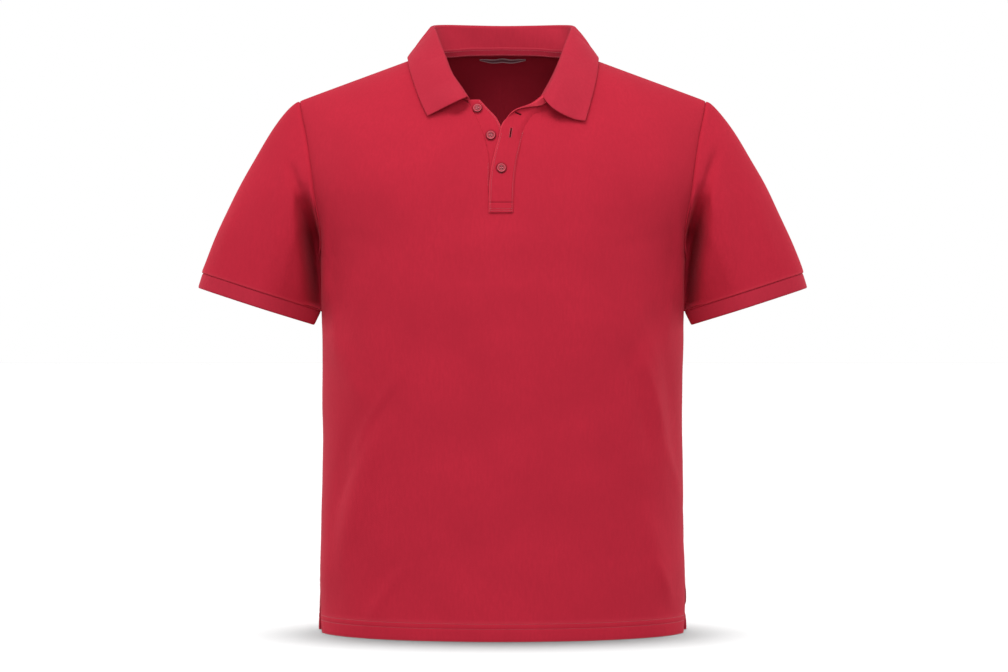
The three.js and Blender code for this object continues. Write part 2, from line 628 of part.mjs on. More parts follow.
// Four-hole button with its axis along +Z and its back face at the origin.
function buttonGeometry() {
  const section = BUTTON_SECTION.map(({ out, up }) => new THREE.Vector2(out, up)
    .multiplyScalar(BUTTON_RADIUS));
  const asManifold = (geometry) => {
    geometry.deleteAttribute('normal');
    geometry.deleteAttribute('uv');
    const merged = mergeVertices(geometry, 1e-4);
    return new wasm.Manifold(new wasm.Mesh({
      numProp: 3,
      vertProperties: merged.attributes.position.array,
      triVerts: new Uint32Array(merged.index.array),
    }));
  };
  const lathe = new THREE.LatheGeometry(section, 18).rotateX(Math.PI / 2);
  let button = asManifold(lathe);
  for (const [x, y] of [[1, 1], [1, -1], [-1, 1], [-1, -1]]) {
    const hole = new THREE.CylinderGeometry(THREAD_HOLE.radius, THREAD_HOLE.radius, THREAD_HOLE.length, 6)
      .rotateX(Math.PI / 2).translate(x * THREAD_HOLE.offset, y * THREAD_HOLE.offset, 0);
    button = button.subtract(asManifold(hole));
  }
  const mesh = button.getMesh();
  const geometry = new THREE.BufferGeometry();
  geometry.setAttribute('position', new THREE.Float32BufferAttribute(Array.from(mesh.vertProperties), 3));
  geometry.setIndex(Array.from(mesh.triVerts));
  geometry.computeVertexNormals();
  return geometry;
}

// Button places on the placket from the top down, and the lift of the band under each.
const BUTTONS = [
  { name: 'button_1', x: -32, z: -82.2, lift: BUTTON_GAP },
  { name: 'button_2', x: -15, z: -117.4, lift: BUTTON_GAP },
  { name: 'button_3', x: -1.5, z: -160.5, lift: BAND_GAP + RIB + BUTTON_GAP },
];

function button({ name, x, z, lift }) {
  const mesh = piece(name, buttonGeometry(), DARK_RED, 0.4);
  const at = lifted(-1, x, z, lift);
  mesh.position.copy(at);
  mesh.quaternion.setFromUnitVectors(new THREE.Vector3(0, 0, 1), torsoNormal(-1, torsoAt(-1, x, z)));
  return mesh;
}

function piece(name, geometry, color, roughness = 0.9) {
  const mesh = new THREE.Mesh(geometry, new THREE.MeshStandardMaterial({ color, roughness, metalness: 0 }));
  mesh.name = name;
  return mesh;
}

const shirt = new THREE.Group();
shirt.add(
  piece('front', frontPanel(), RED),
  piece('back', backPanel(), RED),
  piece('sleeve_right', sleeve(1), RED),
  piece('sleeve_left', sleeve(-1), RED),
  piece('cuff_right', cuff(1), RIB_RED),
  piece('cuff_left', cuff(-1), RIB_RED),
  piece('collar', collar(), RIB_RED),
  piece('placket_under', underBand(), RED),
  piece('placket_upper', upperBand(), RED),
  piece('neck_tape', neckTape(), DARK_RED),
  piece('label', neckLabel(), DARK_RED),
  ...BUTTONS.map(button),
);

export default shirt;
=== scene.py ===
"""Looks of a short-sleeved polo shirt, filled out with no wearer, made on its fixed model.

Sizes here are in millimetres and become metres when a mesh is made. +X is the wearer's left, the
front faces -Y and +Z is up. Angles called turns go round the torso, in degrees from its middle.
"""

import math

import bpy
import numpy as np
from mathutils import Matrix, Vector


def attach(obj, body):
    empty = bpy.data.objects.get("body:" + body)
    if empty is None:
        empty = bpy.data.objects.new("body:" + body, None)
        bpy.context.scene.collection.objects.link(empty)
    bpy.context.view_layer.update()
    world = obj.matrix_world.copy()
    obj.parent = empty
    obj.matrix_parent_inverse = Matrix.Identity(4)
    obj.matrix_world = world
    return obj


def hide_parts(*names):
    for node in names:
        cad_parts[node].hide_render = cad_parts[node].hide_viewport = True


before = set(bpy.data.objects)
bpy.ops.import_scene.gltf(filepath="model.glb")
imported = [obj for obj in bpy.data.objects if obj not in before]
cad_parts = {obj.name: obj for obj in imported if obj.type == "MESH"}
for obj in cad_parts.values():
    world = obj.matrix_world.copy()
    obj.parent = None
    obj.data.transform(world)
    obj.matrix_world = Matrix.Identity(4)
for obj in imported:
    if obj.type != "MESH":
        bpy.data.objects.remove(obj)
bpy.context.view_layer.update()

MM = 0.001

# Camera of the photograph: level, straight ahead
CAMERA_DISTANCE = 3200
CAMERA_X = 1.7
CAMERA_Z = -371.6
PIXEL = 1.32
IMAGE_WIDTH = 1008
SENSOR = 36

# Shirt
CLOTH = 1.2
RIB = 2.2
SEAM_GAP = 0.3
HEM_Z = -758.3
HEM_DEPTH = 22
HEM_CLOTH = 2.6
VENT_HEIGHT = 70
UNDERARM_Z = -270
TIP_Z = -61.4
NECK_SIDE = (90, 3.7)
CUFF_DEPTH = 20
SLOT_FOOT_Z = -192.7
BUTTON_RADIUS = 5.9
FRONT, BACK = -1, 1
FRONT_VENT_TURN = 14

# Torso sections: height, half width, depth to the front, depth to the back
TORSO = [
    (-760, 243, 134, 134),
    (-690, 240, 134, 132),
    (-600, 238, 136, 130),
    (-450, 237, 142, 130),
    (-337, 238.5, 148, 134),
    (-270, 240, 149, 139),
    (-238, 246, 148, 141),
    (-179, 264.5, 142, 142),
    (-112, 273.7, 126, 136),
    (-61, 277, 114, 129),
    (40, 277, 108, 122),
]
RIDGE = [(0, 33), (30, 30.5), (60, 21), (90, 3.7), (120, -7.3), (194, -34.4), (268, -61.4), (300, -73.1)]
RIDGE_FALL = (150, 132)
BOXINESS = 0.88
PROBE = 0.5

# Armhole edge: share of the way down from the shoulder tip, turn in front, turn behind
ARMHOLE = [
    (0, 75.3, 75.3),
    (1 / 6, 73.4, 73.6),
    (2 / 6, 69.4, 70.4),
    (3 / 6, 67.9, 69.2),
    (4 / 6, 71.1, 72),
    (5 / 6, 78.2, 78.8),
    (1, 90, 90),
]

# Neck edges: place across, height
FRONT_NECK = [(44, -73), (58, -62), (70, -46), (80, -27), (86.5, -10), (90, 3.7)]
BACK_NECK = [(0, 14), (45, 12.3), (75, 7.5), (90, 3.7)]

# Placket slot: height, left edge, right edge
SLOT = [
    (-760, -46, 42),
    (-205, -17.2, 11.9),
    (-173, -16.9, 13.2),
    (-148, -17.2, 17),
    (-126, -21.5, 22),
    (-103.5, -29.5, 28.4),
    (-88, -36.5, 37.5),
    (-70, -45, 54),
]

# Under band's free edge: height, place across
UNDER_EDGE = [
    (-190, 10.5), (-150, 8.5), (-125, 3.5), (-106.7, -2.1), (-93.7, -8.4), (-82.4, -18.6), (-70, -29.5),
]

# Upper band from its foot up: row, free edge x and z, sewn edge x and z, lift off the chest, turned back
UPPER_BAND = [
    (0, -17.5, -216, 13.5, -216, 0, 0),
    (1, -17, -195, 13.8, -195, 0.8, 0),
    (2, -16, -173.4, 15.2, -171, 1.2, 0),
    (3, -11.8, -148, 18.8, -147, 1.3, 0),
    (4, -4.9, -121, 25.3, -121, 1.7, 0),
    (5, -1.5, -106.5, 30.4, -106, 2.3, 0),
    (6, 4.3, -97.5, 35.5, -97.5, 3, 0.5),
    (7, 14.5, -87, 41.5, -90, 4, 5),
    (8, 35.5, -78.5, 51, -86, 5, 9),
    (9, 50, -67, 60, -78, 5, 10),
]
SEWN_SINK = 2.5
TURN_LIFT = 4.6
TURN_RISE = 4
BAND_GAP = 0.5

# Collar from its right front end round the back to its left: place, fold x, y, z, leaf edge x, z
COLLAR = [
    (0, -43.8, -104, -67.5, -94.8, -92.5),
    (1, -56, -95.5, -50, -103.5, -74),
    (2, -68, -79, -31, -111, -54),
    (3, -76.5, -58, -9, -117.5, -34),
    (4, -84.5, -33, 13, -121.5, -18),
    (5, -91, -4, 32, -123.5, -7.3),
    (6, -93, 24, 41, -118, -11.5),
    (7, -78, 47, 45, -97, -12),
    (8, -42, 60, 46, -53, -8),
    (9, 0, 64, 46, 0, -6),
    (10, 42, 60, 46, 53, -8),
    (11, 78, 47, 45, 97, -12),
    (12, 93, 24, 41, 118, -11.5),
    (13, 92, -4, 32, 124, -7.3),
    (14, 84.5, -34, 11, 123, -20),
    (15, 76, -60, -13, 119.5, -41),
    (16, 65, -82, -38.5, 113, -68),
    (17, 49.5, -104, -66, 104, -99),
]
COLLAR_BACK_START = 5
COLLAR_BACK_END = 13
COLLAR_FOOT = (48, 54.5)
FOLD_RADIUS = 3.2
FOLD_END_SHARE = 0.5
LEAF_CLEARANCE = 2.6
STAND_LIFT = 2.1
LEAF_EDGE_LIFT = 4.1
LEAF_BOW = (0.4, 3, 3)
# Front ends of the leaf: how far they stand off the chest, and sag on the wearer's right and left
LEAF_END_LIFT = 12
LEAF_END_SAG = (5, 24)
LEAF_END_SHARE = 0.25

# Creases: line's two ends (x, z, x, z), how far its middle bows aside, width, height (- is a trough)
FRONT_CREASES = [
    (-150, -480, -215, -690, 8, 17, 3.2),
    (-186, -470, -222, -640, 4, 13, -2.6),
    (-222, -350, -170, -470, 6, 15, 2.4),
    (-228, -560, -231, -735, 0, 9, 2.6),
    (170, -330, 214, -560, -6, 15, 3.2),
    (205, -390, 226, -570, -4, 11, -2.6),
    (178, -590, 216, -720, -4, 15, 2.4),
    (205, -320, 150, -420, -5, 16, -2),
    (-130, -415, -205, -565, 5, 6, 2.2),
    (-140, -440, -214, -590, 6, 6, -2),
    (-120, -660, -175, -745, 4, 7, 1.8),
    (164, -370, 206, -505, -5, 6, 2.2),
    (150, -385, 190, -530, -5, 6, -1.6),
    (206, -505, 232, -590, -3, 6, 1.4),
    (190, -650, 220, -725, -3, 6, 1.6),
    (-150, -288, 150, -294, 0, 15, -1.3),
    (-232, -270, -214, -420, -4, 6, 1.1),
    (228, -268, 214, -400, 4, 6, 1.1),
    (-225, -245, -150, -262, -6, 14, -1.1),
    (224, -243, 140, -268, 5, 14, -1.1),
    (-118, -120, -212, -205, 10, 22, -1.3),
    (122, -118, 214, -196, -10, 22, -1.3),
    (-15, -255, -14, -730, 1, 3.2, 0.35),
    (-42, -70, -68, -87, 0, 9, -6),
    (46, -78, 82, -92, 0, 9, -7),
]
BACK_CREASES = [
    (-205, -300, -120, -430, 10, 16, 4),
    (205, -300, 128, -450, -10, 16, 4),
    (-150, -500, -205, -700, 8, 15, 4),
    (150, -480, 212, -690, -8, 15, 4),
    (-70, -560, -90, -740, 4, 17, -3),
    (60, -540, 92, -735, -4, 17, -3.2),
    (-225, -262, -80, -330, 14, 8, 2.2),
    (225, -262, 96, -345, -14, 8, 2.2),
    (-215, -240, -60, -285, 10, 9, -2),
    (212, -240, 70, -290, -10, 9, -2),
    (-100, -330, -150, -520, 6, 7, 2),
    (108, -350, 160, -540, -6, 7, 2),
    (-200, -600, -226, -740, 3, 7, 1.2),
    (196, -590, 228, -735, -3, 7, 1.2),
    (241, -698, 242, -730, 0, 16, 1.3),
    (242, -722, 243, -742, 0, 16, -1.1),
    (-7.2, -10, -7.2, -330, 0, 2.8, -1.8),
    (1.8, -10, 1.8, -330, 0, 2.8, -1.8),
]
# Sleeve creases in each sleeve's own front and back, written for the wearer's right sleeve
SLEEVE_RIGHT_CREASES = {
    FRONT: [
        (-280, -142, -255, -226, -2, 6.5, -4.5),
        (-252, -185, -262, -300, 10, 11, -1.9),
        (-276, -140, -298, -290, 10, 9, 1.5),
        (-300, -150, -330, -285, 6, 14, 0.9),
        (-250, -205, -290, -325, 8, 7, 1.0),
        (-340, -190, -372, -280, 3, 7, 0.8),
    ],
    BACK: [
        (-256, -170, -270, -310, 8, 12, -1.8),
        (-282, -150, -312, -300, 8, 10, 1.6),
        (-325, -190, -350, -295, 4, 9, 1.0),
    ],
}
SLEEVE_LEFT_CREASES = {
    FRONT: [
        (-283, -122, -253, -226, -2, 7, -5.5),
        (-254, -185, -258, -296, 12, 10, -1.7),
        (-280, -150, -292, -300, 8, 9, 1.4),
        (-308, -140, -342, -270, 6, 13, 1.0),
        (-252, -215, -300, -322, 7, 7, 0.9),
        (-336, -210, -360, -292, 3, 7, 0.9),
    ],
    BACK: [
        (-258, -168, -274, -305, 8, 12, -1.8),
        (-288, -150, -306, -300, 8, 10, 1.5),
        (-330, -180, -356, -290, 4, 9, 1.1),
    ],
}

# Cuff opening of the wearer's right sleeve
CUFF_CENTRE = np.array([-325.7, -6, -332])
CUFF_TILT = 18
CUFF_WIDE = 79.6
CUFF_DEEP = 41
SLEEVE_OVERHANG = 1.4
# How a sleeve leaves the armhole: share of the way down, x, y, z, and how strongly it arrives
SLEEVE_LEAVE = [
    (0, -100, 0, -38, 180),
    (0.25, -104, 16, -50, 150),
    (0.5, -86, 6, -64, 120),
    (0.75, -46, -8, -70, 84),
    (1, -2, 0, -60, 56),
]
SLEEVE_SEAM_AWAY = (0.9, 0.6)
SLEEVE_SEAM_UNDER = (0.55, 0.9)
SLEEVE_SEAM_OUT = 0.75
EDGE_PROBE = 0.02
# Seam allowance turned in under the panels: away from their edge, depth
ALLOWANCE = [(-7, -2.6), (-3, -2.9), (0.3, -3.1), (0.8, -2.2)]
# Armpit end of a sleeve: narrower in front, further back, and against the shirt's side
TUCK_START = 0.5
TUCK_IN = 0.6
TUCK_BACK = 20
TUCK_CLOSE = 3.2
# Fold that sinks in beside the armpit: height, place across, share of the way back
ARMPIT_FOLD = [
    (-352, -242.5, 0.5),
    (-331, -243, 0.85),
    (-311, -244, 1),
    (-284, -246, 1),
    (-245, -250, 0.95),
    (-225, -252, 0.62),
    (-207, -255, 0.3),
    (-192, -258, 0.1),
    (-172, -262, 0),
]
ARMPIT_FOLD_WIDTH = 10
ARMPIT_FOLD_BACK = 42
# Ridge of the front beside each armpit: ends, bow, width, height, as creases
ARMPIT_RIDGE = [(-227, -205, -231, -350, 0, 6, 3.4), (227, -205, 231, -350, 0, 6, 3.4)]
SIDE_GAP = 0.6
# Where a panel's creases fade beside the armpits, and where its slight waves begin below the neck
CALM_ACROSS = (222, 237)
CALM_UP = (-375, -350)
CALM_SHARE = 0.9
WAVES_BELOW = (60, 240)

# Mesh steps and the closer places beside an edge, in mm
LOW_STEP = 4
ARMHOLE_STEPS = 58
FRONT_SPANS = (42, 34, 12, 34, 42)
BACK_SPANS = (42, 70, 42)
NEAR_EDGE = np.array([0.5, 1.2, 2.2, 3.4])
SPAN_LENGTH = 170

# Seams and hems
SEAM_DIP = 0.85
SEAM_ROLL = 1.5
HEM_STITCHES = (22, 15.6)
STITCH_DIP = 0.35
STITCH_PITCH = 3.0
THREAD = 0.27
EDGE_BULGE = 0.3
# Turns between a panel's side and the end of its hem stitches, and its vent stitches
HEM_STITCH_TURN = 0.6
VENT_STITCH_TURN = 2.6


def along(table, at):
    """Smooth curves through a table's rows: all its columns, at places along its first one."""
    rows = np.array(sorted(table), float)
    keys = rows[:, 0]
    slopes = np.gradient(rows, axis=0) / np.gradient(keys)[:, None]
    at = np.clip(np.asarray(at, float), keys[0], keys[-1])
    i = np.clip(np.searchsorted(keys, at, side="right") - 1, 0, len(keys) - 2)
    step = (keys[i + 1] - keys[i])[..., None]
    t = (at - keys[i])[..., None] / step
    return hermite(t, rows[i], slopes[i] * step, rows[i + 1], slopes[i + 1] * step)


def hermite(t, start, leave, end, arrive):
    """Smooth way from a start to an end, which leaves and arrives in given directions."""
    return (
        (2 * t**3 - 3 * t**2 + 1) * start
        + (t**3 - 2 * t**2 + t) * leave
        + (3 * t**2 - 2 * t**3) * end
        + (t**3 - t**2) * arrive
    )


def smooth(value, low, high):
    t = np.clip((np.asarray(value, float) - low) / (high - low), 0, 1)
    return t * t * (3 - 2 * t)


def unit(vectors):
    return vectors / np.maximum(np.linalg.norm(vectors, axis=-1, keepdims=True), 1e-9)


def xyz(x, y, z):
    return np.stack(np.broadcast_arrays(x, y, z), axis=-1).astype(float)


def ridge(x):
    return along(RIDGE, np.abs(x))[..., 1]


def half_width(z):
    return along(TORSO, z)[..., 1]


def depth_squared(side, x, z):
    """Square of the torso's depth: zero on the shoulder ridge and at the sides."""
    rows = along(TORSO, z)
    front = np.asarray(side) < 0
    depth = np.where(front, rows[..., 2], rows[..., 3])
    around = 1 - (x / rows[..., 1]) ** 2
    fall = (ridge(x) - z) / np.where(front, *RIDGE_FALL)
    top = np.where(fall < 1, fall * (2 - fall), 1)
    return depth**2 * np.sign(around) * np.abs(around) ** BOXINESS * top


def torso_slope(side, x, y, z):
    """Steepest way out of the torso's form, beside a point."""
    slope_x = depth_squared(side, x - PROBE, z) - depth_squared(side, x + PROBE, z)
    slope_z = depth_squared(side, x, z - PROBE) - depth_squared(side, x, z + PROBE)
    return xyz(slope_x / (2 * PROBE), 2 * y, slope_z / (2 * PROBE))


def torso_normal(side, point):
    return unit(torso_slope(side, *np.moveaxis(point, -1, 0)))


def torso_at(side, x, z):
    depth = np.sqrt(np.maximum(depth_squared(side, x, z), 0))
    return xyz(x, side * (depth + SEAM_GAP / 2), z)


def crease_height(table, x, z):
    """Height of soft ridges and troughs that fade at both ends."""
    height = np.zeros(np.broadcast(x, z).shape)
    for x0, z0, x1, z1, bow, width, tall in table:
        dx, dz = x1 - x0, z1 - z0
        length = math.hypot(dx, dz)
        place = ((x - x0) * dx + (z - z0) * dz) / length**2
        across = ((x - x0) * dz - (z - z0) * dx) / length - bow * 4 * place * (1 - place)
        height += tall * smooth(place, -0.1, 0.35) * smooth(place, 1.1, 0.65) * gauss(across, width)
    return height


def unevenness(x, z, seed, height=0.35):
    """Slight waves of real cloth, from a few crossing swells."""
    random = np.random.default_rng(seed)
    total = np.zeros(np.broadcast(x, z).shape)
    for _ in range(7):
        length = random.uniform(55, 190)
        angle = random.uniform(0, math.pi)
        phase = random.uniform(0, 2 * math.pi)
        wave = (x * math.cos(angle) + z * math.sin(angle)) / length
        total += np.sin(2 * math.pi * wave + phase) * length / 190
    return total * height


def panel_creases(side, x, z):
    table = FRONT_CREASES if side == FRONT else BACK_CREASES
    height = crease_height(table, x, z) + unevenness(x, z, 3 + side) * smooth(-z, *WAVES_BELOW)
    height = height * (1 - CALM_SHARE * smooth(np.abs(x), *CALM_ACROSS) * smooth(z, *CALM_UP))
    return height + crease_height(ARMPIT_RIDGE, x, z) if side == FRONT else height


def lifted(side, x, z, lift=0.0):
    """A torso point with its creases, moved out by a lift."""
    point = torso_at(side, x, z)
    out = np.asarray(lift + panel_creases(side, x, z))[..., None]
    return point + torso_normal(side, point) * out


def turn_to_x(turn, z):
    return half_width(z) * np.sin(np.radians(turn))


def x_to_turn(x, z):
    return np.degrees(np.arcsin(np.clip(x / half_width(z), -1, 1)))


def armhole_z(share):
    return (TIP_Z + UNDERARM_Z) / 2 + (TIP_Z - UNDERARM_Z) / 2 * np.cos(np.pi * share)


def armhole_turn(side, share):
    rows = along(ARMHOLE, share)
    return np.where(np.asarray(side) < 0, rows[..., 1], rows[..., 2])


def shares(count, near=(), near_end=None):
    """Even places from 0 to 1, with closer ones beside both ends, or others beside the far one."""
    near_end = near if near_end is None else near_end
    return np.unique(np.concatenate([np.linspace(0, 1, count + 1), near, 1 - np.array(near_end)]))


def spread(guides, spans):
    """Places between neighbouring guides, closer together beside the two outer ones."""
    near = NEAR_EDGE / SPAN_LENGTH
    last = len(spans) - 1
    columns = [guides[..., :1]]
    for i, count in enumerate(spans):
        places = shares(count, near if i == 0 else (), near if i == last else ())[1:]
        start, end = guides[..., i : i + 1], guides[..., i + 1 : i + 2]
        columns.append(start + (end - start) * places)
    return np.concatenate(columns, axis=-1)


def lengths(points, axis):
    """Distance along a grid's rows or columns, from their start."""
    steps = np.linalg.norm(np.diff(points, axis=axis), axis=-1)
    start = np.zeros_like(np.take(steps, [0], axis=axis))
    return np.concatenate([start, np.cumsum(steps, axis=axis)], axis=axis)


def grid_normals(points):
    down = np.gradient(points, axis=0)
    across = np.gradient(points, axis=1)
    return unit(np.cross(across, down))


def gauss(value, width):
    return np.exp(-((value / width) ** 2))


def seam_dip(distance):
    """How far cloth rolls in towards a seam at this distance from it."""
    return -SEAM_DIP * np.exp(-distance / SEAM_ROLL)


# Meshes


def new_mesh(name, points, faces, material, **attributes):
    mesh = bpy.data.meshes.new(name)
    mesh.from_pydata((np.asarray(points) * MM).tolist(), [], [list(map(int, face)) for face in faces])
    for key, values in attributes.items():
        kind = "FLOAT_VECTOR" if np.ndim(values) == 2 else "FLOAT"
        field = "vector" if kind == "FLOAT_VECTOR" else "value"
        layer = mesh.attributes.new(key, kind, "POINT")
        layer.data.foreach_set(field, np.asarray(values, np.float32).ravel())
    mesh.materials.append(material)
    mesh.shade_smooth()
    mesh.update()
    obj = bpy.data.objects.new(name, mesh)
    bpy.context.scene.collection.objects.link(obj)
    return obj


def wall(name, outer, inner, material, keep=None, light_edges=0.0, worn=None):
    """A closed wall between two grids of points, with rounded edges round what keep leaves in."""
    rows, columns = outer.shape[:2]
    count = rows * columns
    index = np.arange(count).reshape(rows, columns)
    corners = [index[:-1, :-1], index[:-1, 1:], index[1:, 1:], index[1:, :-1]]
    quads = np.stack([c.ravel() for c in corners], axis=-1)
    if keep is not None:
        quads = quads[keep.ravel()]
    a, b = outer.reshape(-1, 3), inner.reshape(-1, 3)
    thick = a - b
    diagonals = np.cross(a[quads[:, 2]] - a[quads[:, 0]], a[quads[:, 3]] - a[quads[:, 1]])
    if (diagonals * thick[quads[:, 0]]).sum() < 0:
        quads = quads[:, ::-1]
    edges = np.concatenate([quads[:, [k, (k + 1) % 4]] for k in range(4)])
    codes = edges[:, 0] * count + edges[:, 1]
    rim = edges[~np.isin(edges[:, 1] * count + edges[:, 0], codes)]
    outward = np.zeros_like(a)
    sideways = np.cross(a[rim[:, 1]] - a[rim[:, 0]], unit(thick[rim[:, 0]]))
    np.add.at(outward, rim[:, 0], unit(sideways))
    np.add.at(outward, rim[:, 1], unit(sideways))
    middle = (a + b) / 2 + unit(outward) * np.linalg.norm(thick, axis=-1, keepdims=True) * EDGE_BULGE
    p, q = rim[:, 0], rim[:, 1]
    faces = np.concatenate([
        quads,
        quads[:, ::-1] + count,
        np.stack([q, p, p + 2 * count, q + 2 * count], axis=-1),
        np.stack([q + 2 * count, p + 2 * count, p + count, q + count], axis=-1),
    ])
    used, faces = np.unique(faces, return_inverse=True)
    faces = faces.reshape(-1, 4)
    points = np.concatenate([a, b, middle])[used]
    across = lengths(outer, 1)
    across = across - across[:, columns // 2 : columns // 2 + 1]
    place = xyz(across, lengths(outer, 0), 0 * across).reshape(-1, 3)
    on_rim = np.zeros(count)
    on_rim[rim.ravel()] = light_edges
    # Marks above 0 lighten worn edges and rims; marks below 0 are painted shade.
    marks = np.zeros(count) if worn is None else worn.ravel()
    marks = np.where(marks < 0, marks, np.maximum(marks, on_rim * 0.8))
    light = np.concatenate([marks, on_rim * 0.5, on_rim])[used]
    return new_mesh(name, points, faces, material, cloth=np.tile(place, (3, 1))[used], worn=light)


def thread_mesh(name, starts, ends, normals, material, radius=THREAD, arch=0.22):
    """Short raised threads, each from a start to an end on the cloth."""
    side = unit(np.cross(unit(ends - starts), normals))
    stations = ((0, 0.45, 0), (0.22, 1, 1), (0.78, 1, 1), (1, 0.45, 0))
    ring = np.radians([0, 60, 120, 180, 240, 300])
    points = []
    for place, size, up in stations:
        centre = starts + (ends - starts) * place + normals * arch * up
        for angle in ring:
            reach = side * math.cos(angle) + normals * math.sin(angle)
            points.append(centre + reach * radius * size)
    points = np.stack(points, axis=1).reshape(-1, 3)
    sides = len(ring)
    faces = [list(range(sides))[::-1], [3 * sides + k for k in range(sides)]]
    for first in range(0, 3 * sides, sides):
        for k in range(sides):
            after = (k + 1) % sides
            faces.append([first + k, first + after, first + sides + after, first + sides + k])
    every = [[4 * sides * i + k for k in face] for i in range(len(starts)) for face in faces]
    return new_mesh(name, points, every, material)


def stitch_run(points, normals, pitch=STITCH_PITCH, cover=0.74):
    """Starts, ends and normals of stitches along a line on the cloth."""
    distance = lengths(points[None], 1)[0]
    begins = np.arange(0.3, distance[-1] - pitch, pitch)

    def at(places, values):
        return np.stack([np.interp(places, distance, values[:, k]) for k in range(3)], axis=-1)

    return at(begins, points), at(begins + pitch * cover, points), unit(at(begins, normals))


def panel_run(side, x, z, lift, **how):
    """Stitches along a line across a panel."""
    points = lifted(side, x, z, lift)
    return stitch_run(points, torso_normal(side, torso_at(side, x, z)), **how)


# Materials


class Graph:
    """A material's or world's nodes, by short calls."""

    def __init__(self, owner, shader="Principled BSDF"):
        owner.use_nodes = True
        self.owner = owner
        self.tree = owner.node_tree
        self.shader = self.tree.nodes[shader]

    def node(self, kind, inputs=(), **settings):
        made = self.tree.nodes.new(kind)
        for key, value in settings.items():
            setattr(made, key, value)
        for key, value in dict(inputs).items():
            self.feed(made.inputs[key], value)
        return made

    def feed(self, socket, value):
        if isinstance(value, bpy.types.NodeSocket):
            self.tree.links.new(value, socket)
        else:
            socket.default_value = value

    def math(self, operation, *values):
        return self.node("ShaderNodeMath", enumerate(values), operation=operation).outputs[0]

    def where(self, kind="Object"):
        return self.node("ShaderNodeTexCoord").outputs[kind]

    def noise(self, where, scale, detail=2.0):
        inputs = {"Vector": where, "Scale": scale, "Detail": detail}
        return self.node("ShaderNodeTexNoise", inputs).outputs["Fac"]

    def stretched(self, where, scale):
        return self.node("ShaderNodeMapping", {"Vector": where, "Scale": scale}).outputs[0]

    def mix(self, share, first, second):
        made = self.node("ShaderNodeMix", data_type="RGBA")
        self.feed(made.inputs[0], share)
        self.feed(made.inputs[6], first)
        self.feed(made.inputs[7], second)
        return made.outputs[2]

    def span(self, value, low, high, start=0.0, end=1.0):
        inputs = {"Value": value, "From Min": low, "From Max": high, "To Min": start, "To Max": end}
        return self.node("ShaderNodeMapRange", inputs).outputs[0]

    def attribute(self, name, output):
        return self.node("ShaderNodeAttribute", attribute_name=name).outputs[output]

    def bump(self, height, strength, distance):
        inputs = {"Strength": strength, "Distance": distance, "Height": height}
        self.set(Normal=self.node("ShaderNodeBump", inputs).outputs[0])

    def set(self, **inputs):
        for key, value in inputs.items():
            self.feed(self.shader.inputs[key.replace("_", " ")], value)


def wave(graph, place, pitch):
    """Cosine along a cloth coordinate with this pitch in mm."""
    return graph.math("COSINE", graph.math("MULTIPLY", place, 2 * math.pi / pitch))


def tinted(colour, factor, white=0.0):
    return [min(c * factor + white, 1) for c in colour[:3]] + [1]


def cloth_material(name, colour, knit, pitch, bump, edge_colour=None):
    """Matte knitted cloth: mottled, with painted shade in the pits of its knit; the wear attribute makes it
    lighter above 0, for worn edges, and gives painted shade below 0, in slits, round button dents and along
    a pressed line.
    """
    graph = Graph(bpy.data.materials.new(name))
    where = graph.where()
    place = graph.node("ShaderNodeSeparateXYZ", {0: graph.attribute("cloth", "Vector")}).outputs
    across, down = wave(graph, place[0], pitch[0]), wave(graph, place[1], pitch[1])
    if knit == "pique":
        relief = graph.math("MULTIPLY", across, down)
    else:
        relief = graph.math("ADD", graph.math("MULTIPLY", across, 0.75), graph.math("MULTIPLY", down, 0.25))
    fuzz = graph.noise(where, 1500, 3)
    height = graph.math("ADD", graph.math("MULTIPLY", relief, 0.5), graph.math("MULTIPLY", fuzz, 0.9))
    clouds = graph.span(graph.noise(where, 16, 4), 0.3, 0.7)
    body = graph.mix(clouds, tinted(colour, 0.955), tinted(colour, 1.045))
    slubs = graph.noise(graph.stretched(where, (1, 1, 0.25)), 330, 3)
    body = graph.mix(graph.span(slubs, 0.35, 0.65, 0, 0.5), body, tinted(colour, 0.9))
    # Painted shade in the low pits of the knit's relief.
    pit_shade = graph.span(relief, -1, 1, 0.14, 0)
    body = graph.mix(pit_shade, body, tinted(colour, 0.6))
    specks = graph.span(graph.noise(where, 420, 3), 0.55, 0.8, 0, 0.16)
    body = graph.mix(specks, body, tinted(colour, 1.25, 0.012))
    edge = graph.math("MULTIPLY", graph.attribute("worn", "Fac"), graph.span(fuzz, 0.35, 0.6, 0.4, 0.8))
    body = graph.mix(edge, body, edge_colour or tinted(colour, 1.3, 0.03))
    # Painted shade where the wear attribute is below 0: buttonhole slits, the rings round buttons and a
    # pressed line.
    pressed = graph.span(graph.attribute("worn", "Fac"), 0, -1)
    body = graph.mix(pressed, body, tinted(colour, 0.1))
    graph.bump(height, bump, 0.0003)
    graph.set(Base_Color=body, Roughness=0.9, Specular_IOR_Level=0.12)
    graph.set(Sheen_Weight=0.06, Sheen_Roughness=0.4, Sheen_Tint=(1.0, 0.38, 0.45, 1))
    return graph.owner


def thread_material(name, colour):
    graph = Graph(bpy.data.materials.new(name))
    twist = graph.noise(graph.where(), 2600, 2)
    body = graph.mix(graph.span(twist, 0.3, 0.7), tinted(colour, 0.8), colour)
    graph.bump(twist, 0.5, 0.0001)
    graph.set(Base_Color=body, Roughness=0.6, Sheen_Weight=0.3)
    return graph.owner


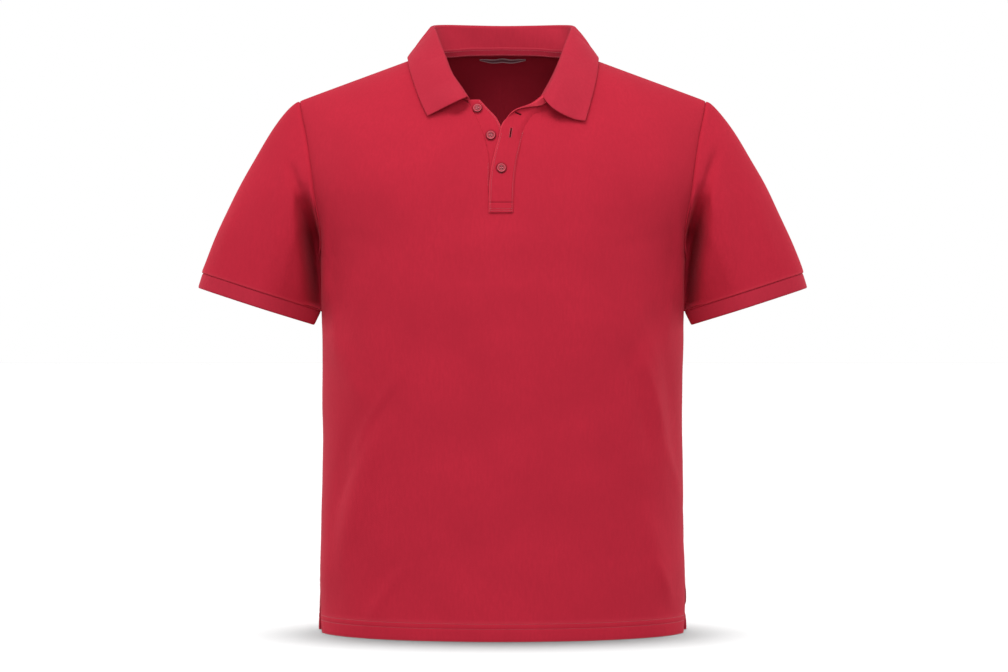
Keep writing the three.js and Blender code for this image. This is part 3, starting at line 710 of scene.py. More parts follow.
def button_material(name, colour):
    """Satin plastic, with a painted highlight on its rim, and painted shade on its outer edge and in its
    dished middle.
    """
    graph = Graph(bpy.data.materials.new(name))
    marble = graph.noise(graph.where(), 260, 4)
    body = graph.mix(graph.span(marble, 0.35, 0.65), tinted(colour, 0.7), colour)
    rim = graph.attribute("rim", "Fac")
    body = graph.mix(rim, body, tinted(colour, 1.45, 0.05))
    body = graph.mix(graph.span(rim, 0, -1), body, tinted(colour, 0.15))
    graph.bump(marble, 0.08, 0.0001)
    graph.set(Base_Color=body, Roughness=0.42, Specular_IOR_Level=0.4)
    return graph.owner


RED = (0.515, 0.0195, 0.043, 1)
RIB_RED = (0.49, 0.0235, 0.048, 1)
PIQUE = cloth_material("pique_red", RED, "pique", (1.5, 1.25), 0.35)
RIBBED = cloth_material("rib_red", RIB_RED, "rib", (1.7, 1.0), 0.3)
TAPE = cloth_material("tape_red", (0.44, 0.021, 0.044, 1), "rib", (0.8, 0.6), 0.3)
LABEL = cloth_material("label_grey", (0.12, 0.04, 0.05, 1), "rib", (0.35, 0.35), 0.12, (0.8, 0.46, 0.5, 1))
STITCHING = thread_material("thread_red", (0.53, 0.042, 0.075, 1))
BUTTON_THREAD = thread_material("button_thread_red", (0.75, 0.14, 0.19, 1))
BUTTON = button_material("button_red", (0.42, 0.02, 0.04, 1))


def dress(obj, node=None):
    """Puts a piece on the frame's root, and hides the node that it stands for."""
    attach(obj, "root")
    if node:
        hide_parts(node)
    return obj


def sew(name, runs):
    """Runs of stitches made as one piece."""
    joined = [np.concatenate(part) for part in zip(*runs)]
    return dress(thread_mesh(name, *joined, STITCHING))


# Camera


def make_camera():
    data = bpy.data.cameras.new("camera")
    data.sensor_width = SENSOR
    data.lens = SENSOR * CAMERA_DISTANCE / (PIXEL * IMAGE_WIDTH)
    camera = bpy.data.objects.new("camera", data)
    camera.location = Vector((CAMERA_X, -CAMERA_DISTANCE, CAMERA_Z)) * MM
    camera.rotation_euler = (math.radians(90), 0, 0)
    bpy.context.scene.collection.objects.link(camera)
    bpy.context.scene.camera = camera


# Front and back


def low_rows():
    """Heights of a panel's rows below the armhole, closer at the hem's edge and stitches."""
    even = np.arange(HEM_Z, -298, LOW_STEP)
    fold = HEM_Z + np.array([0.4, 1.0, 2.0])
    beside = np.array([-1.4, -0.6, 0, 0.6, 1.4, 2.6])
    return np.unique(np.concatenate([even, fold] + [HEM_Z + depth + beside for depth in HEM_STITCHES]))


def panel_grid(side, vent_turn, spans, guides_at, neck_table):
    """Places across and up of a panel's grid, from the hem to the neck and shoulder."""
    low = low_rows()
    steps = np.linspace(1, 0, ARMHOLE_STEPS + 1)
    z = np.concatenate([low, armhole_z(steps)])
    edge = np.concatenate([90 - vent_turn * vent_share(low), armhole_turn(side, steps)])
    top = spread(guides_at(armhole_turn(side, np.zeros(1)), np.array([TIP_Z]), np.ones(1)), spans)[0]
    heights = np.full(len(top), float(TIP_Z))
    for _ in range(8):
        x = np.abs(turn_to_x(top, heights))
        neck = along(neck_table, x)[..., 1]
        heights = np.where(x > NECK_SIDE[0] - 0.01, ridge(x), neck)
    rise = smooth(z, UNDERARM_Z - 60, TIP_Z)
    turns = spread(guides_at(edge, z, rise), spans)
    up = z[:, None] + (heights - TIP_Z)[None, :] * rise[:, None]
    return turn_to_x(turns, up), up


NECK_TURN_LOW = 33


def neck_guide(rise):
    top = x_to_turn(NECK_SIDE[0], np.array(NECK_SIDE[1]))
    return NECK_TURN_LOW + (top - NECK_TURN_LOW) * rise


def front_guides(edge, z, rise):
    slot_z = z + (FRONT_NECK[0][1] - TIP_Z) * rise
    slot = along(SLOT, slot_z)
    neck = neck_guide(rise)
    left, right = x_to_turn(slot[..., 1], slot_z), x_to_turn(slot[..., 2], slot_z)
    return np.stack([-edge, -neck, left, right, neck, edge], axis=-1)


def back_guides(edge, z, rise):
    neck = neck_guide(rise)
    return np.stack([-edge, -neck, neck, edge], axis=-1)


def hem_relief(up):
    """Doubled hem: a little fuller below its stitches, which draw the cloth in."""
    full = 0.45 * smooth(up, 0, 2.5) * smooth(up, HEM_DEPTH + 1.5, HEM_DEPTH - 2)
    drawn = sum(gauss(up - depth, 0.9) for depth in HEM_STITCHES)
    return full - STITCH_DIP * drawn + 0.2 * gauss(up - HEM_DEPTH - 2.6, 1.6)


def panel(name, side, x, z, keep=None):
    """A panel's shell, rolled in at its seams and doubled at its hem."""
    base = lifted(side, x, z)
    normal = torso_normal(side, torso_at(side, x, z))
    across = lengths(base, 1)
    from_side = np.minimum(across, across[:, -1:] - across)
    down = lengths(base, 0)
    from_top = down[-1:] - down
    sewn = smooth(z, HEM_Z + VENT_HEIGHT - 6, HEM_Z + VENT_HEIGHT)
    relief = hem_relief(z - HEM_Z) + seam_dip(from_side) * sewn + seam_dip(from_top)
    vent = (1 - sewn) * gauss(from_side - 6, 0.9)
    relief = relief - 0.3 * vent
    thick = np.where(z < HEM_Z + HEM_DEPTH, HEM_CLOTH, CLOTH)
    outer = base + normal * relief[..., None]
    inner = base + normal * (np.minimum(relief, 0) - thick)[..., None]
    worn = 0.55 * gauss(z - HEM_Z - HEM_DEPTH - 1.2, 1.3) + 0.7 * gauss(z - HEM_Z, 1.0)
    worn = worn + 0.5 * (1 - sewn) * gauss(from_side, 1.2)
    return wall(name, outer, inner, PIQUE, keep=keep, worn=np.clip(worn, 0, 1))


def hem_run(side, depth, vent_turn):
    """Stitches along a hem, at a depth above its edge."""
    z = np.full(500, HEM_Z + depth)
    edge = 90 - vent_turn * vent_share(z[0]) - HEM_STITCH_TURN
    return panel_run(side, turn_to_x(np.linspace(-edge, edge, 500), z), z, 0.05)


def vent_runs(side, vent_turn):
    """Stitches up both vent edges of a panel."""
    z = np.linspace(HEM_Z + 1, HEM_Z + VENT_HEIGHT + 2, 60)
    x = turn_to_x(90 - vent_turn * vent_share(z) - VENT_STITCH_TURN, z)
    return [panel_run(side, hand * x, z, 0.1) for hand in (-1, 1)]


def vent_share(z):
    """How far a vent is open at a height: nothing at its top, all at the hem."""
    return np.maximum(0, HEM_Z + VENT_HEIGHT - z) / VENT_HEIGHT


def sewn_panel(node, side, x, z, vent_turn, keep=None):
    """A panel's cloth and its stitches."""
    cloth = dress(panel(f"{node}_cloth", side, x, z, keep), node)
    runs = [hem_run(side, depth, vent_turn) for depth in HEM_STITCHES] + vent_runs(side, vent_turn)
    return cloth, sew(f"{node}_sewing", runs)


def make_front():
    x, z = panel_grid(FRONT, FRONT_VENT_TURN, FRONT_SPANS, front_guides, FRONT_NECK)
    slot_start = FRONT_SPANS[0] + len(NEAR_EDGE) + FRONT_SPANS[1]
    slot_row = int(np.argmin(np.abs(z[:, slot_start] - SLOT_FOOT_Z)))
    keep = np.ones((x.shape[0] - 1, x.shape[1] - 1), bool)
    keep[slot_row:, slot_start : slot_start + FRONT_SPANS[2]] = False
    cloth, sewing = sewn_panel("front", FRONT, x, z, FRONT_VENT_TURN, keep)


def make_back():
    x, z = panel_grid(BACK, 0, BACK_SPANS, back_guides, BACK_NECK)
    cloth, sewing = sewn_panel("back", BACK, x, z, 0)


# Sleeves and cuffs


def cuff_axes():
    tilt = math.radians(CUFF_TILT)
    return np.array([-math.sin(tilt), 0, -math.cos(tilt)]), np.array([-math.cos(tilt), 0, math.sin(tilt)])


def cuff_point(angle, up, inset):
    axis, out = cuff_axes()
    share, side = fold_angle(angle)
    tuck = smooth(share, TUCK_START, 1)
    front = np.where(side == FRONT, 1 - TUCK_IN * tuck, 1)
    wide = (CUFF_WIDE - inset) * np.cos(angle) - TUCK_CLOSE * smooth(share, 0.75, 1) * up / CUFF_DEPTH
    deep = (CUFF_DEEP - inset) * np.sin(angle) * front - TUCK_BACK * tuck
    point = CUFF_CENTRE - axis * np.asarray(up, float)[..., None]
    return point + out * wide[..., None] + np.array([0, -1, 0]) * deep[..., None]


def fold_angle(angle):
    """Share of the way down the armhole and side of the shirt, from an angle round the sleeve."""
    angle = np.mod(angle, 2 * np.pi)
    share = np.where(angle <= np.pi, angle / np.pi, 2 - angle / np.pi)
    return share, np.where(angle <= np.pi, FRONT, BACK)


def armhole_point(angle):
    share, side = fold_angle(angle)
    z = armhole_z(share)
    return torso_at(side, -turn_to_x(armhole_turn(side, share), z), z), share, side


def sleeve_start(angles):
    """Where a sleeve begins: the armhole's edge, the ways off it and out of the torso, its share."""
    start, share, side = armhole_point(angles)
    ahead = armhole_point(angles + EDGE_PROBE)[0]
    behind = armhole_point(angles - EDGE_PROBE)[0]
    normal = torso_normal(side, start)
    return start, unit(np.cross(ahead - behind, normal)), normal, share, side


def sleeve_grid(angles, places):
    """A sleeve's outer points: rows from the armhole to the cuff, columns round from the underarm."""
    start, away, normal, share, side = sleeve_start(angles)
    under = smooth(share, *SLEEVE_SEAM_UNDER)[:, None]
    reach = SLEEVE_SEAM_AWAY[0] + (SLEEVE_SEAM_AWAY[1] - SLEEVE_SEAM_AWAY[0]) * under
    start = start + away * reach + normal * SLEEVE_SEAM_OUT * under
    row = along(SLEEVE_LEAVE, share)
    leave = xyz(row[:, 1], side * row[:, 2], row[:, 3])
    arrive = cuff_axes()[0] * row[:, 4:5]
    arrive[:, 0] *= 1 - 0.8 * smooth(share, 0.8, 1)
    end = cuff_point(angles, CUFF_DEPTH + SEAM_GAP, -SLEEVE_OVERHANG)
    return hermite(places[:, None, None], start, leave, end, arrive)


def armpit_fold(points):
    """How far a sleeve sinks back beside the armpit, from a fold's line in to the shirt's side."""
    x, y, z = np.moveaxis(points, -1, 0)
    fold = along(ARMPIT_FOLD, z)
    sunk = np.clip(fold[..., 2], 0, 1) * gauss(np.minimum(x - fold[..., 1], 0), ARMPIT_FOLD_WIDTH)
    return np.clip(0.9 * sunk * (ARMPIT_FOLD_BACK - y), 0, None)


def against_side(points, angles):
    """How far the wearer's right sleeve moves in to lie against the shirt's side behind the armpit."""
    x, y, z = np.moveaxis(points, -1, 0)
    share, side = fold_angle(angles)
    rows = along(TORSO, z)
    depth = np.where(y < 0, rows[..., 2], rows[..., 3])
    around = np.clip(1 - (np.abs(y) / depth) ** (2 / BOXINESS), 0, 1)
    gap = -x - rows[..., 1] * np.sqrt(around) - SIDE_GAP
    pressed = np.where(side == BACK, smooth(share, 0.76, 0.9), smooth(share, 0.94, 1))
    return np.clip(gap, 0, 14) * pressed


def mirrored(points, hand):
    """The wearer's right is where the points are made, and their left is its mirror."""
    return points * np.array([1 if hand == "right" else -1, 1, 1])


SLEEVE_STEPS = 62
ROUND_STEPS = 150
ROUND_ANGLES = np.pi * (1 + 2 * shares(ROUND_STEPS, (0.002, 0.005, 0.01)))
UNDERARM_INSET = 0.002


def make_sleeve(hand, creases):
    angles = ROUND_ANGLES.copy()
    angles[0] += UNDERARM_INSET
    angles[-1] -= UNDERARM_INSET
    base = sleeve_grid(angles, shares(SLEEVE_STEPS, (0.003, 0.008, 0.016)))
    from_top, across = lengths(base, 0), lengths(base, 1)
    from_cuff = from_top[-1:] - from_top
    from_seam = np.minimum(across, across[:, -1:] - across)
    base[..., 1] += armpit_fold(base) * smooth(from_top, 1, 14) * smooth(from_cuff, 0, 8)
    base[..., 0] += against_side(base, angles) * smooth(from_top, 0, 6) * smooth(from_cuff, 0, 12)
    normal = -grid_normals(base)
    if ((base - base.mean(axis=1, keepdims=True)) * normal).sum() < 0:
        normal = -normal
    x, z = base[..., 0], base[..., 2]
    height = unevenness(x, z, 11 if hand == "right" else 12, 0.3)
    for side in (FRONT, BACK):
        height += crease_height(creases[side], x, z) * np.clip(normal[..., 1] * side * 1.6, 0, 1)
    start, away, torso_out, share, _ = sleeve_start(angles)
    faded = smooth(from_top, 0, 18) * smooth(from_cuff, 0, 14) * (1 - 0.9 * smooth(share, 0.85, 0.97))
    relief = height * faded + seam_dip(from_top) + 0.7 * seam_dip(from_seam)
    relief = relief + 0.5 * gauss(from_top - 4.5, 3.5) * smooth(share, 0.04, 0.2)
    relief = relief - 0.5 * np.exp(-from_cuff / 0.9)
    outer, inner = (base + normal * depth[..., None] for depth in (relief, relief - CLOTH))
    turned = np.stack([start + away * reach + torso_out * depth for reach, depth in ALLOWANCE])
    outer = np.concatenate([turned, outer])
    inner = np.concatenate([turned - torso_out * CLOTH, inner])
    worn = np.concatenate([np.zeros(turned.shape[:2]), 0.5 * gauss(from_cuff - 1.2, 1.2)])
    name = f"sleeve_{hand}_cloth"
    cloth = wall(name, mirrored(outer, hand), mirrored(inner, hand), PIQUE, worn=worn)
    dress(cloth, f"sleeve_{hand}")


def make_cuff(hand):
    """A cuff's rib band, rounded over at its open edge and sewn under the sleeve's."""
    up = np.unique(np.concatenate([np.linspace(0, CUFF_DEPTH - SEAM_GAP / 2, 15), [0.4, 1, 18.6, 19.3]]))
    angles, heights = np.meshgrid(ROUND_ANGLES, up)
    angles[:, 0] += UNDERARM_INSET
    angles[:, -1] -= UNDERARM_INSET
    rounded = 0.5 * np.exp(-heights / 0.8) + 0.9 * np.exp((heights - CUFF_DEPTH) / 1.2)
    wavy = 0.35 * np.sin(5 * angles + 1) * np.exp(-heights / 14)
    outer = cuff_point(angles, heights, rounded + wavy)
    inner = cuff_point(angles, heights, rounded * 0.2 + wavy + RIB)
    name = f"cuff_{hand}_rib"
    rib = wall(name, mirrored(outer, hand), mirrored(inner, hand), RIBBED, light_edges=0.5)
    dress(rib, f"cuff_{hand}")


# Collar


def neck_at(place):
    """Point of the neck edge that the collar stands on, its normal, and the side of the shirt."""
    last = COLLAR[-1][0]
    middle = last / 2
    sign = np.where(place < middle, -1, 1)
    back = (place > COLLAR_BACK_START) & (place < COLLAR_BACK_END)
    share = np.minimum(np.abs(place - middle) / (middle - COLLAR_BACK_START), 1)
    span = np.where(sign < 0, COLLAR_BACK_START, last - COLLAR_BACK_END)
    front_place = np.clip(np.where(sign < 0, place, last - place) / span, 0, 1)
    foot = np.where(sign < 0, *COLLAR_FOOT)
    front_x = foot + (NECK_SIDE[0] - foot) * np.sin(np.pi / 2 * front_place)
    x = np.where(back, NECK_SIDE[0] * np.sin(np.pi / 2 * share), front_x)
    z = np.where(back, along(BACK_NECK, x)[..., 1], along(FRONT_NECK, x)[..., 1])
    side = np.where(back, BACK, FRONT)
    point = torso_at(side, sign * x, z)
    return point, torso_normal(side, point), side


def clear_of_torso(points, clearance):
    """Points moved out of the torso until they have the clearance."""
    moved = points.copy()
    for _ in range(4):
        x, y, z = np.moveaxis(moved, -1, 0)
        side = np.where(y < 0, FRONT, BACK)
        slope = torso_slope(side, x, y, z)
        size = np.maximum(np.linalg.norm(slope, axis=-1), 1)
        push = np.maximum(clearance - (y**2 - depth_squared(side, x, z)) / size, 0)
        moved = moved + slope / size[..., None] * push[..., None]
    return moved


STAND_STEPS = 12
ROLL_STEPS = 12
LEAF_STEPS = 26
COLLAR_STEPS = 230


def collar_grid(place):
    """The collar's middle surface: columns from the neck edge, over the fold, to the leaf's edge."""
    rows = along(COLLAR, place)
    fold, leaf_x, leaf_z = rows[:, 1:4], rows[:, 4], rows[:, 5]
    neck, neck_normal, side = neck_at(place)
    leaf_point = torso_at(side, leaf_x, np.minimum(leaf_z, ridge(leaf_x) - 0.2))
    leaf_edge = leaf_point + torso_normal(side, leaf_point) * LEAF_EDGE_LIFT
    out = unit((leaf_edge - fold) * np.array([1, 1, 0]))
    up = unit(fold - neck)
    foot = neck - neck_normal * 0.9 + up * STAND_LIFT
    from_end = np.minimum(place, COLLAR[-1][0] - place)
    radius = (FOLD_RADIUS * (FOLD_END_SHARE + (1 - FOLD_END_SHARE) * smooth(from_end, 0, 1)))[:, None]
    up_way = np.array([0, 0, 1])
    centre = fold - up_way * (radius + RIB / 2)
    share, sideways, upward = LEAF_BOW
    at_end = 1 - smooth(from_end, 0, 1.5)
    share = (share + (LEAF_END_SHARE - share) * at_end)[:, None]
    sag = at_end**2 * np.where(place < COLLAR[-1][0] / 2, *LEAF_END_SAG)
    bow = out * sideways + up_way * (upward - sag)[:, None]
    way = (leaf_edge - centre - out * radius) * share + bow
    end_angle = np.arctan2((way * out).sum(axis=-1), way[:, 2]).clip(0.6 * np.pi, np.pi)
    points = []
    for up_share in shares(STAND_STEPS, (0.02, 0.05), ())[:-1]:
        points.append(foot + (centre - out * radius - foot) * up_share)
    lift = LEAF_END_LIFT * at_end
    ahead = np.array([0, -1, 0])
    for part in np.linspace(0, 1, ROLL_STEPS + 1):
        angle = (end_angle * part)[:, None]
        roll = centre - out * radius * np.cos(angle) + up_way * radius * np.sin(angle)
        cleared = clear_of_torso(roll, LEAF_CLEARANCE) + ahead * (lift * 0.4)[:, None]
        points.append(roll + (cleared - roll) * smooth(part, 0.5, 1))
    leaf_top = points[-1]
    bend = leaf_top + (leaf_edge - leaf_top) * share + bow
    for t in shares(LEAF_STEPS, (), (0.006, 0.015, 0.028))[1:]:
        leaf = leaf_top * (1 - t) ** 2 + bend * 2 * t * (1 - t) + leaf_edge * t**2
        off = lift * (0.6 * smooth(t, 0, 0.3) + 0.4 * (1 - t)) * (1 - 0.8 * smooth(t, 0.45, 1))
        points.append(clear_of_torso(leaf, LEAF_CLEARANCE) + ahead * off[:, None])
    return np.stack(points, axis=1)


def make_collar():
    last = COLLAR[-1][0]
    place = shares(COLLAR_STEPS, (0.0006, 0.0015, 0.003)) * last
    grid = collar_grid(place)
    normal = grid_normals(grid)
    across = lengths(grid, 1)
    from_leaf = across[:, -1:] - across
    round_ends = np.minimum(lengths(grid, 0), lengths(grid, 0)[-1:] - lengths(grid, 0))
    thin = 0.35 * np.exp(-from_leaf / 0.8) + 0.35 * np.exp(-round_ends / 0.8)
    swell = 0.35 * unevenness(grid[..., 0], grid[..., 1] + grid[..., 2], 21, 0.5)
    swell = swell * smooth(across, 25, 50) * smooth(from_leaf, 0, 25)
    half = (RIB / 2 - thin)[..., None]
    middle = grid + normal * swell[..., None]
    worn = 0.8 * gauss(from_leaf, 1.3) + 0.7 * gauss(round_ends, 1.2)
    outer, inner = middle + normal * half, middle - normal * half
    rib = wall("collar_rib", outer, inner, RIBBED, worn=np.clip(worn, 0, 1), light_edges=0.6)
    dress(rib, "collar")


# Placket

# Stitches and pressed lines: in from the free edges, and up from the upper band's foot
UNDER_INSET = (2.5, 0.5)
UNDER_STITCH = 2.4
UNDER_SEWN_STITCH = 1.6
UNDER_SEWN_TOP = -150
BAND_STITCHES = (1.8, 28.6)
FOOT_STITCHES = (2.2, 4.6)
FOOT_PRESS = 12.6
SLIT_DEPTH = 1.9
DENT = 0.6
# How much painted shade darkens the ring round each button
DENT_SHADE = 0.45
# Buttonholes: middle x and z, degrees from upright, half length, half width
SLITS = ((19.6, -90.6, 109, 4.5, 1.2), (10.1, -114.9, 8, 6.3, 1.0), (-1.5, -160.5, 5, 6.5, 0.75))


def band_shell(name, places, low, high, relief, **looks):
    """A band that lies on the front: a grid of places, with a lower and an upper face."""
    x, z, more = places
    outer = lifted(FRONT, x, z, high + more + relief)
    inner = lifted(FRONT, x, z, low + more)
    return wall(name, outer, inner, PIQUE, **looks)


def make_under_band():
    rows, columns = shares(70, (0.004, 0.01)), shares(26, (0.015, 0.035))
    foot, top = SLOT_FOOT_Z + UNDER_INSET[0], UNDER_EDGE[-1][0]
    z = np.repeat((foot + (top - foot) * rows)[:, None], len(columns), axis=1)
    left = along(SLOT, z)[..., 1] + UNDER_INSET[1]
    right = along(UNDER_EDGE, z)[..., 1]
    x = left + (right - left) * columns
    from_left, from_right = x - left, right - x
    dent = button_dent(x, z)
    relief = -0.25 * np.exp(-from_left / 1.0) - 0.35 * np.exp(-from_right / 0.8)
    relief = relief - 0.25 * gauss(from_right - UNDER_STITCH, 0.7) - DENT * dent
    # Lighter worn edges, and painted shade in the ring round the button
    worn = 0.9 * gauss(from_right, 1.1) + 0.5 * gauss(top - z, 1.0) - DENT_SHADE * dent
    shell = band_shell("placket_under_cloth", (x, z, 0 * x), -RIB, 0, relief, worn=worn)
    dress(shell, "placket_under")
    line = np.linspace(foot + 8, top - 1, 90)
    runs = [panel_run(FRONT, along(UNDER_EDGE, line)[:, 1] - UNDER_STITCH, line, -0.15)]
    line = line[line < UNDER_SEWN_TOP]
    runs.append(panel_run(FRONT, along(SLOT, line)[:, 1] - UNDER_SEWN_STITCH, line, 0.1))
    sewing = sew("placket_under_sewing", runs)


def upper_band_places(rows, columns):
    """The upper band's places across and up, and how far each stands off the front."""
    value = along(UPPER_BAND, rows * UPPER_BAND[-1][0])
    free, sewn = value[:, None, 1:3], value[:, None, 3:5]
    lift, turned = value[:, None, 5], np.maximum(value[:, None, 6], 0)
    flat = np.linalg.norm(free - sewn, axis=-1)
    done = columns[None, :] * (flat + turned)
    back = np.maximum(done - flat, 0)
    t = ((np.minimum(done, flat) - back) / flat)[..., None]
    place = sewn + (free - sewn) * t
    more = lift * t[..., 0] ** 2 + TURN_LIFT * smooth(back, 0, TURN_RISE)
    return place[..., 0], place[..., 1], more, done, flat + turned - done, back


def slit_dip(x, z):
    """Depth of the buttonholes' narrow slits."""
    dip = 0 * x
    for centre_x, centre_z, lean, half, wide in SLITS:
        dx, dz, angle = x - centre_x, z - centre_z, math.radians(lean)
        across = dx * math.cos(angle) - dz * math.sin(angle)
        place = dx * math.sin(angle) + dz * math.cos(angle)
        inside = smooth(np.abs(place), half, half - 1)
        dip = dip + inside * np.clip(1.5 - 1.5 * np.abs(across) / wide, 0, 1)
    return dip


def button_dent(x, z):
    """Ring of cloth that each button is drawn down into."""
    return sum(gauss(np.hypot(x - row[1], z - row[2]) - BUTTON_RADIUS - 0.4, 0.8) for row in BUTTONS)


def make_upper_band():
    rows, columns = shares(210, (0.002, 0.005)), shares(64, (0.01, 0.025))
    x, z, more, from_sewn, from_free, back = upper_band_places(rows, columns)
    more = more - SEWN_SINK * smooth(z, -140, -112) * smooth(from_sewn, 10, 0)
    foot = UPPER_BAND[0][2]
    up = z - foot
    slits, dent = slit_dip(x, z), button_dent(x, z)
    relief = -0.5 * np.exp(-from_free / 0.9) - 1.5 * np.exp(-from_sewn / 1.3) - 0.4 * np.exp(-up / 0.8)
    relief = relief - 0.3 * gauss(from_sewn - BAND_STITCHES[0], 0.7) - 0.7 * gauss(up - FOOT_PRESS, 0.8)
    for above in FOOT_STITCHES:
        relief = relief - 0.25 * gauss(up - above, 0.6)
    relief = relief - SLIT_DEPTH * slits - DENT * dent
    worn = 0.9 * gauss(from_free, 1.0) + 0.4 * gauss(from_sewn, 0.9) * smooth(z, -120, -150)
    worn = np.clip(worn + 0.5 * gauss(up, 0.9) + 0.6 * smooth(back, 0.5, 2.5), 0, 1)
    # Painted shade in the buttonhole slits, in the rings round the buttons and along the pressed line above
    # the foot
    worn = worn - 1.2 * slits - DENT_SHADE * dent - 0.5 * gauss(up - FOOT_PRESS, 0.6)
    lift = BAND_GAP + RIB
    shell = band_shell("placket_upper_cloth", (x, z, more), BAND_GAP, lift, relief, worn=worn)
    dress(shell, "placket_upper")
    runs = []
    for inset in BAND_STITCHES:
        lines = upper_band_places(np.linspace(0.004, 0.5, 160), np.array([inset / 31]))
        line_x, line_z, line_more = (part[:, 0] for part in lines[:3])
        runs.append(panel_run(FRONT, line_x, line_z, lift + line_more - 0.1, pitch=2.6))
    for above in FOOT_STITCHES:
        line_x = np.linspace(UPPER_BAND[0][1] + 0.8, UPPER_BAND[0][3] - 0.8, 40)
        runs.append(panel_run(FRONT, line_x, np.full(40, foot + above), lift - 0.1, pitch=2.4))
    sewing = sew("placket_upper_sewing", runs)
    welts = make_welts()


def make_welts():
    """Close stitches on both sides of each upright buttonhole."""
    starts, ends = [], []
    for centre_x, centre_z, lean, half, wide in SLITS[1:]:
        for z in np.arange(-half, half + 0.1, 0.55):
            middle = centre_x + z * math.tan(math.radians(lean))
            for hand in (-1, 1):
                starts.append((middle + hand * wide * 0.9, centre_z + z))
                ends.append((middle + hand * (wide * 0.9 + 0.8), centre_z + z + 0.1))
    (x, z), (end_x, end_z) = np.array(starts).T, np.array(ends).T
    stand = BAND_GAP + RIB + 0.05 + band_lift_at(z)
    a, b = lifted(FRONT, x, z, stand), lifted(FRONT, end_x, end_z, stand)
    normals = torso_normal(FRONT, torso_at(FRONT, x, z))
    welts = thread_mesh("buttonhole_threads", a, b, normals, STITCHING, radius=0.3, arch=0.12)
    return dress(welts)


def band_lift_at(z):
    """How far the upper band's middle stands off the front at a height."""
    rows = np.array(UPPER_BAND)
    return np.interp(z, rows[:, 2], rows[:, 5]) * 0.3


# Buttons

# Half section from the middle of the back face, in shares of the radius: out, up
BUTTON_SECTION = [
    (0, 0), (0.7, 0), (0.84, 0.02), (0.94, 0.08), (0.99, 0.16), (1.0, 0.25), (0.985, 0.34), (0.94, 0.41),
    (0.88, 0.44), (0.81, 0.43), (0.74, 0.38), (0.67, 0.325), (0.6, 0.3), (0.4, 0.285), (0, 0.28),
]
HOLE_RADIUS = 0.72
HOLE_OFFSET = 1.2
THREAD_SHIFT = 0.22
THREAD_SINK = 0.35
DISC_STEPS = 56
BUTTONS = [
    ("button_1", -32, -82.2, 0.35, 20),
    ("button_2", -15, -117.4, 0.35, -8),
    ("button_3", -1.5, -160.5, 0.5 + 2.2 + 0.35, 4),
]


def lathe(section, steps):
    angles = np.linspace(0, 2 * np.pi, steps, endpoint=False)
    rings = section[1:-1]
    points = [(0, 0, section[0][1])]
    for out, up in rings:
        points += [(out * math.cos(a), out * math.sin(a), up) for a in angles]
    points.append((0, 0, section[-1][1]))
    faces = []
    for k in range(steps):
        after = (k + 1) % steps
        faces.append([0, 1 + after, 1 + k])
        for r in range(len(rings) - 1):
            first, second = 1 + r * steps, 1 + (r + 1) * steps
            faces.append([first + k, first + after, second + after, second + k])
        top = 1 + (len(rings) - 1) * steps
        faces.append([len(points) - 1, top + k, top + after])
    return np.array(points, float), faces


def pierce(disc, radius, places):
    """Cuts round holes through a disc."""
    for x, y in places:
        bpy.ops.mesh.primitive_cylinder_add(vertices=20, radius=radius * MM, depth=0.03)
        drill = bpy.context.object
        drill.data.transform(Matrix.Translation((x * MM, y * MM, 0)))
        cut = disc.modifiers.new("hole", "BOOLEAN")
        cut.object = drill
        cut.solver = "EXACT"
        bpy.context.view_layer.update()
        mesh = bpy.data.meshes.new_from_object(disc.evaluated_get(bpy.context.evaluated_depsgraph_get()))
        disc.modifiers.clear()
        disc.data = mesh
        bpy.data.objects.remove(drill)


def make_buttons():
    section = [(out * BUTTON_RADIUS, up * BUTTON_RADIUS) for out, up in BUTTON_SECTION]
    points, faces = lathe(section, DISC_STEPS)
    out = np.hypot(points[:, 0], points[:, 1]) / BUTTON_RADIUS
    # Painted highlight on the top of the rim, painted shade on the outer edge and in the dished middle.
    rim = gauss(out - 0.8, 0.07) - smooth(out, 0.88, 0.95) - 0.3 * smooth(out, 0.7, 0.6)
    holes = [(x * HOLE_OFFSET, y * HOLE_OFFSET) for x in (-1, 1) for y in (-1, 1)]
    shifts = (-THREAD_SHIFT, THREAD_SHIFT)
    across = np.array([side * HOLE_OFFSET + shift for side in (-1, 1) for shift in shifts])
    level = section[-1][1] - THREAD_SINK
    starts, ends = (xyz(across, hand * HOLE_OFFSET, level) for hand in (-1, 1))
    up = xyz(0 * across, 0, 1)
    for name, x, z, lift, turn in BUTTONS:
        disc = new_mesh(f"{name}_disc", points, faces, BUTTON, rim=rim)
        pierce(disc, HOLE_RADIUS, holes)
        normal = Vector(torso_normal(FRONT, torso_at(FRONT, float(x), float(z))))
        spot = Vector(lifted(FRONT, float(x), float(z), lift)) * MM
        facing = normal.to_track_quat("Z", "Y").to_matrix().to_4x4()
        put = Matrix.Translation(spot) @ facing @ Matrix.Rotation(math.radians(turn), 4, "Z")
        disc.data.transform(put)
        dress(disc, name)
        sewn = thread_mesh(f"{name}_thread", starts, ends, up, BUTTON_THREAD, 0.3, 0.75)
        sewn.data.transform(put)
        dress(sewn)


# Inside the back neck

INSIDE_GAP = 1.1
TAPE_THICK = 0.9
TAPE_REACH = 84
# Tape's section: below the neck edge, in from the back's outer face
TAPE_SECTION = [
    (-2.4, 2.8),
    (-1.2, 2.9),
    (0.5, 2.8),
    (2.5, 2.4),
    (4.5, 2.0),
    (6.5, 1.5),
    (8, 1.0),
    (8.8, 0.3),
    (9.1, -1),
    (9.2, -4),
]
TAPE_STITCHES = (1.2, 7.2)
LABEL_WIDTH = 63
LABEL_DROP = 9.4
LABEL_END = 1.4
LABEL_DEPTH = 3.8


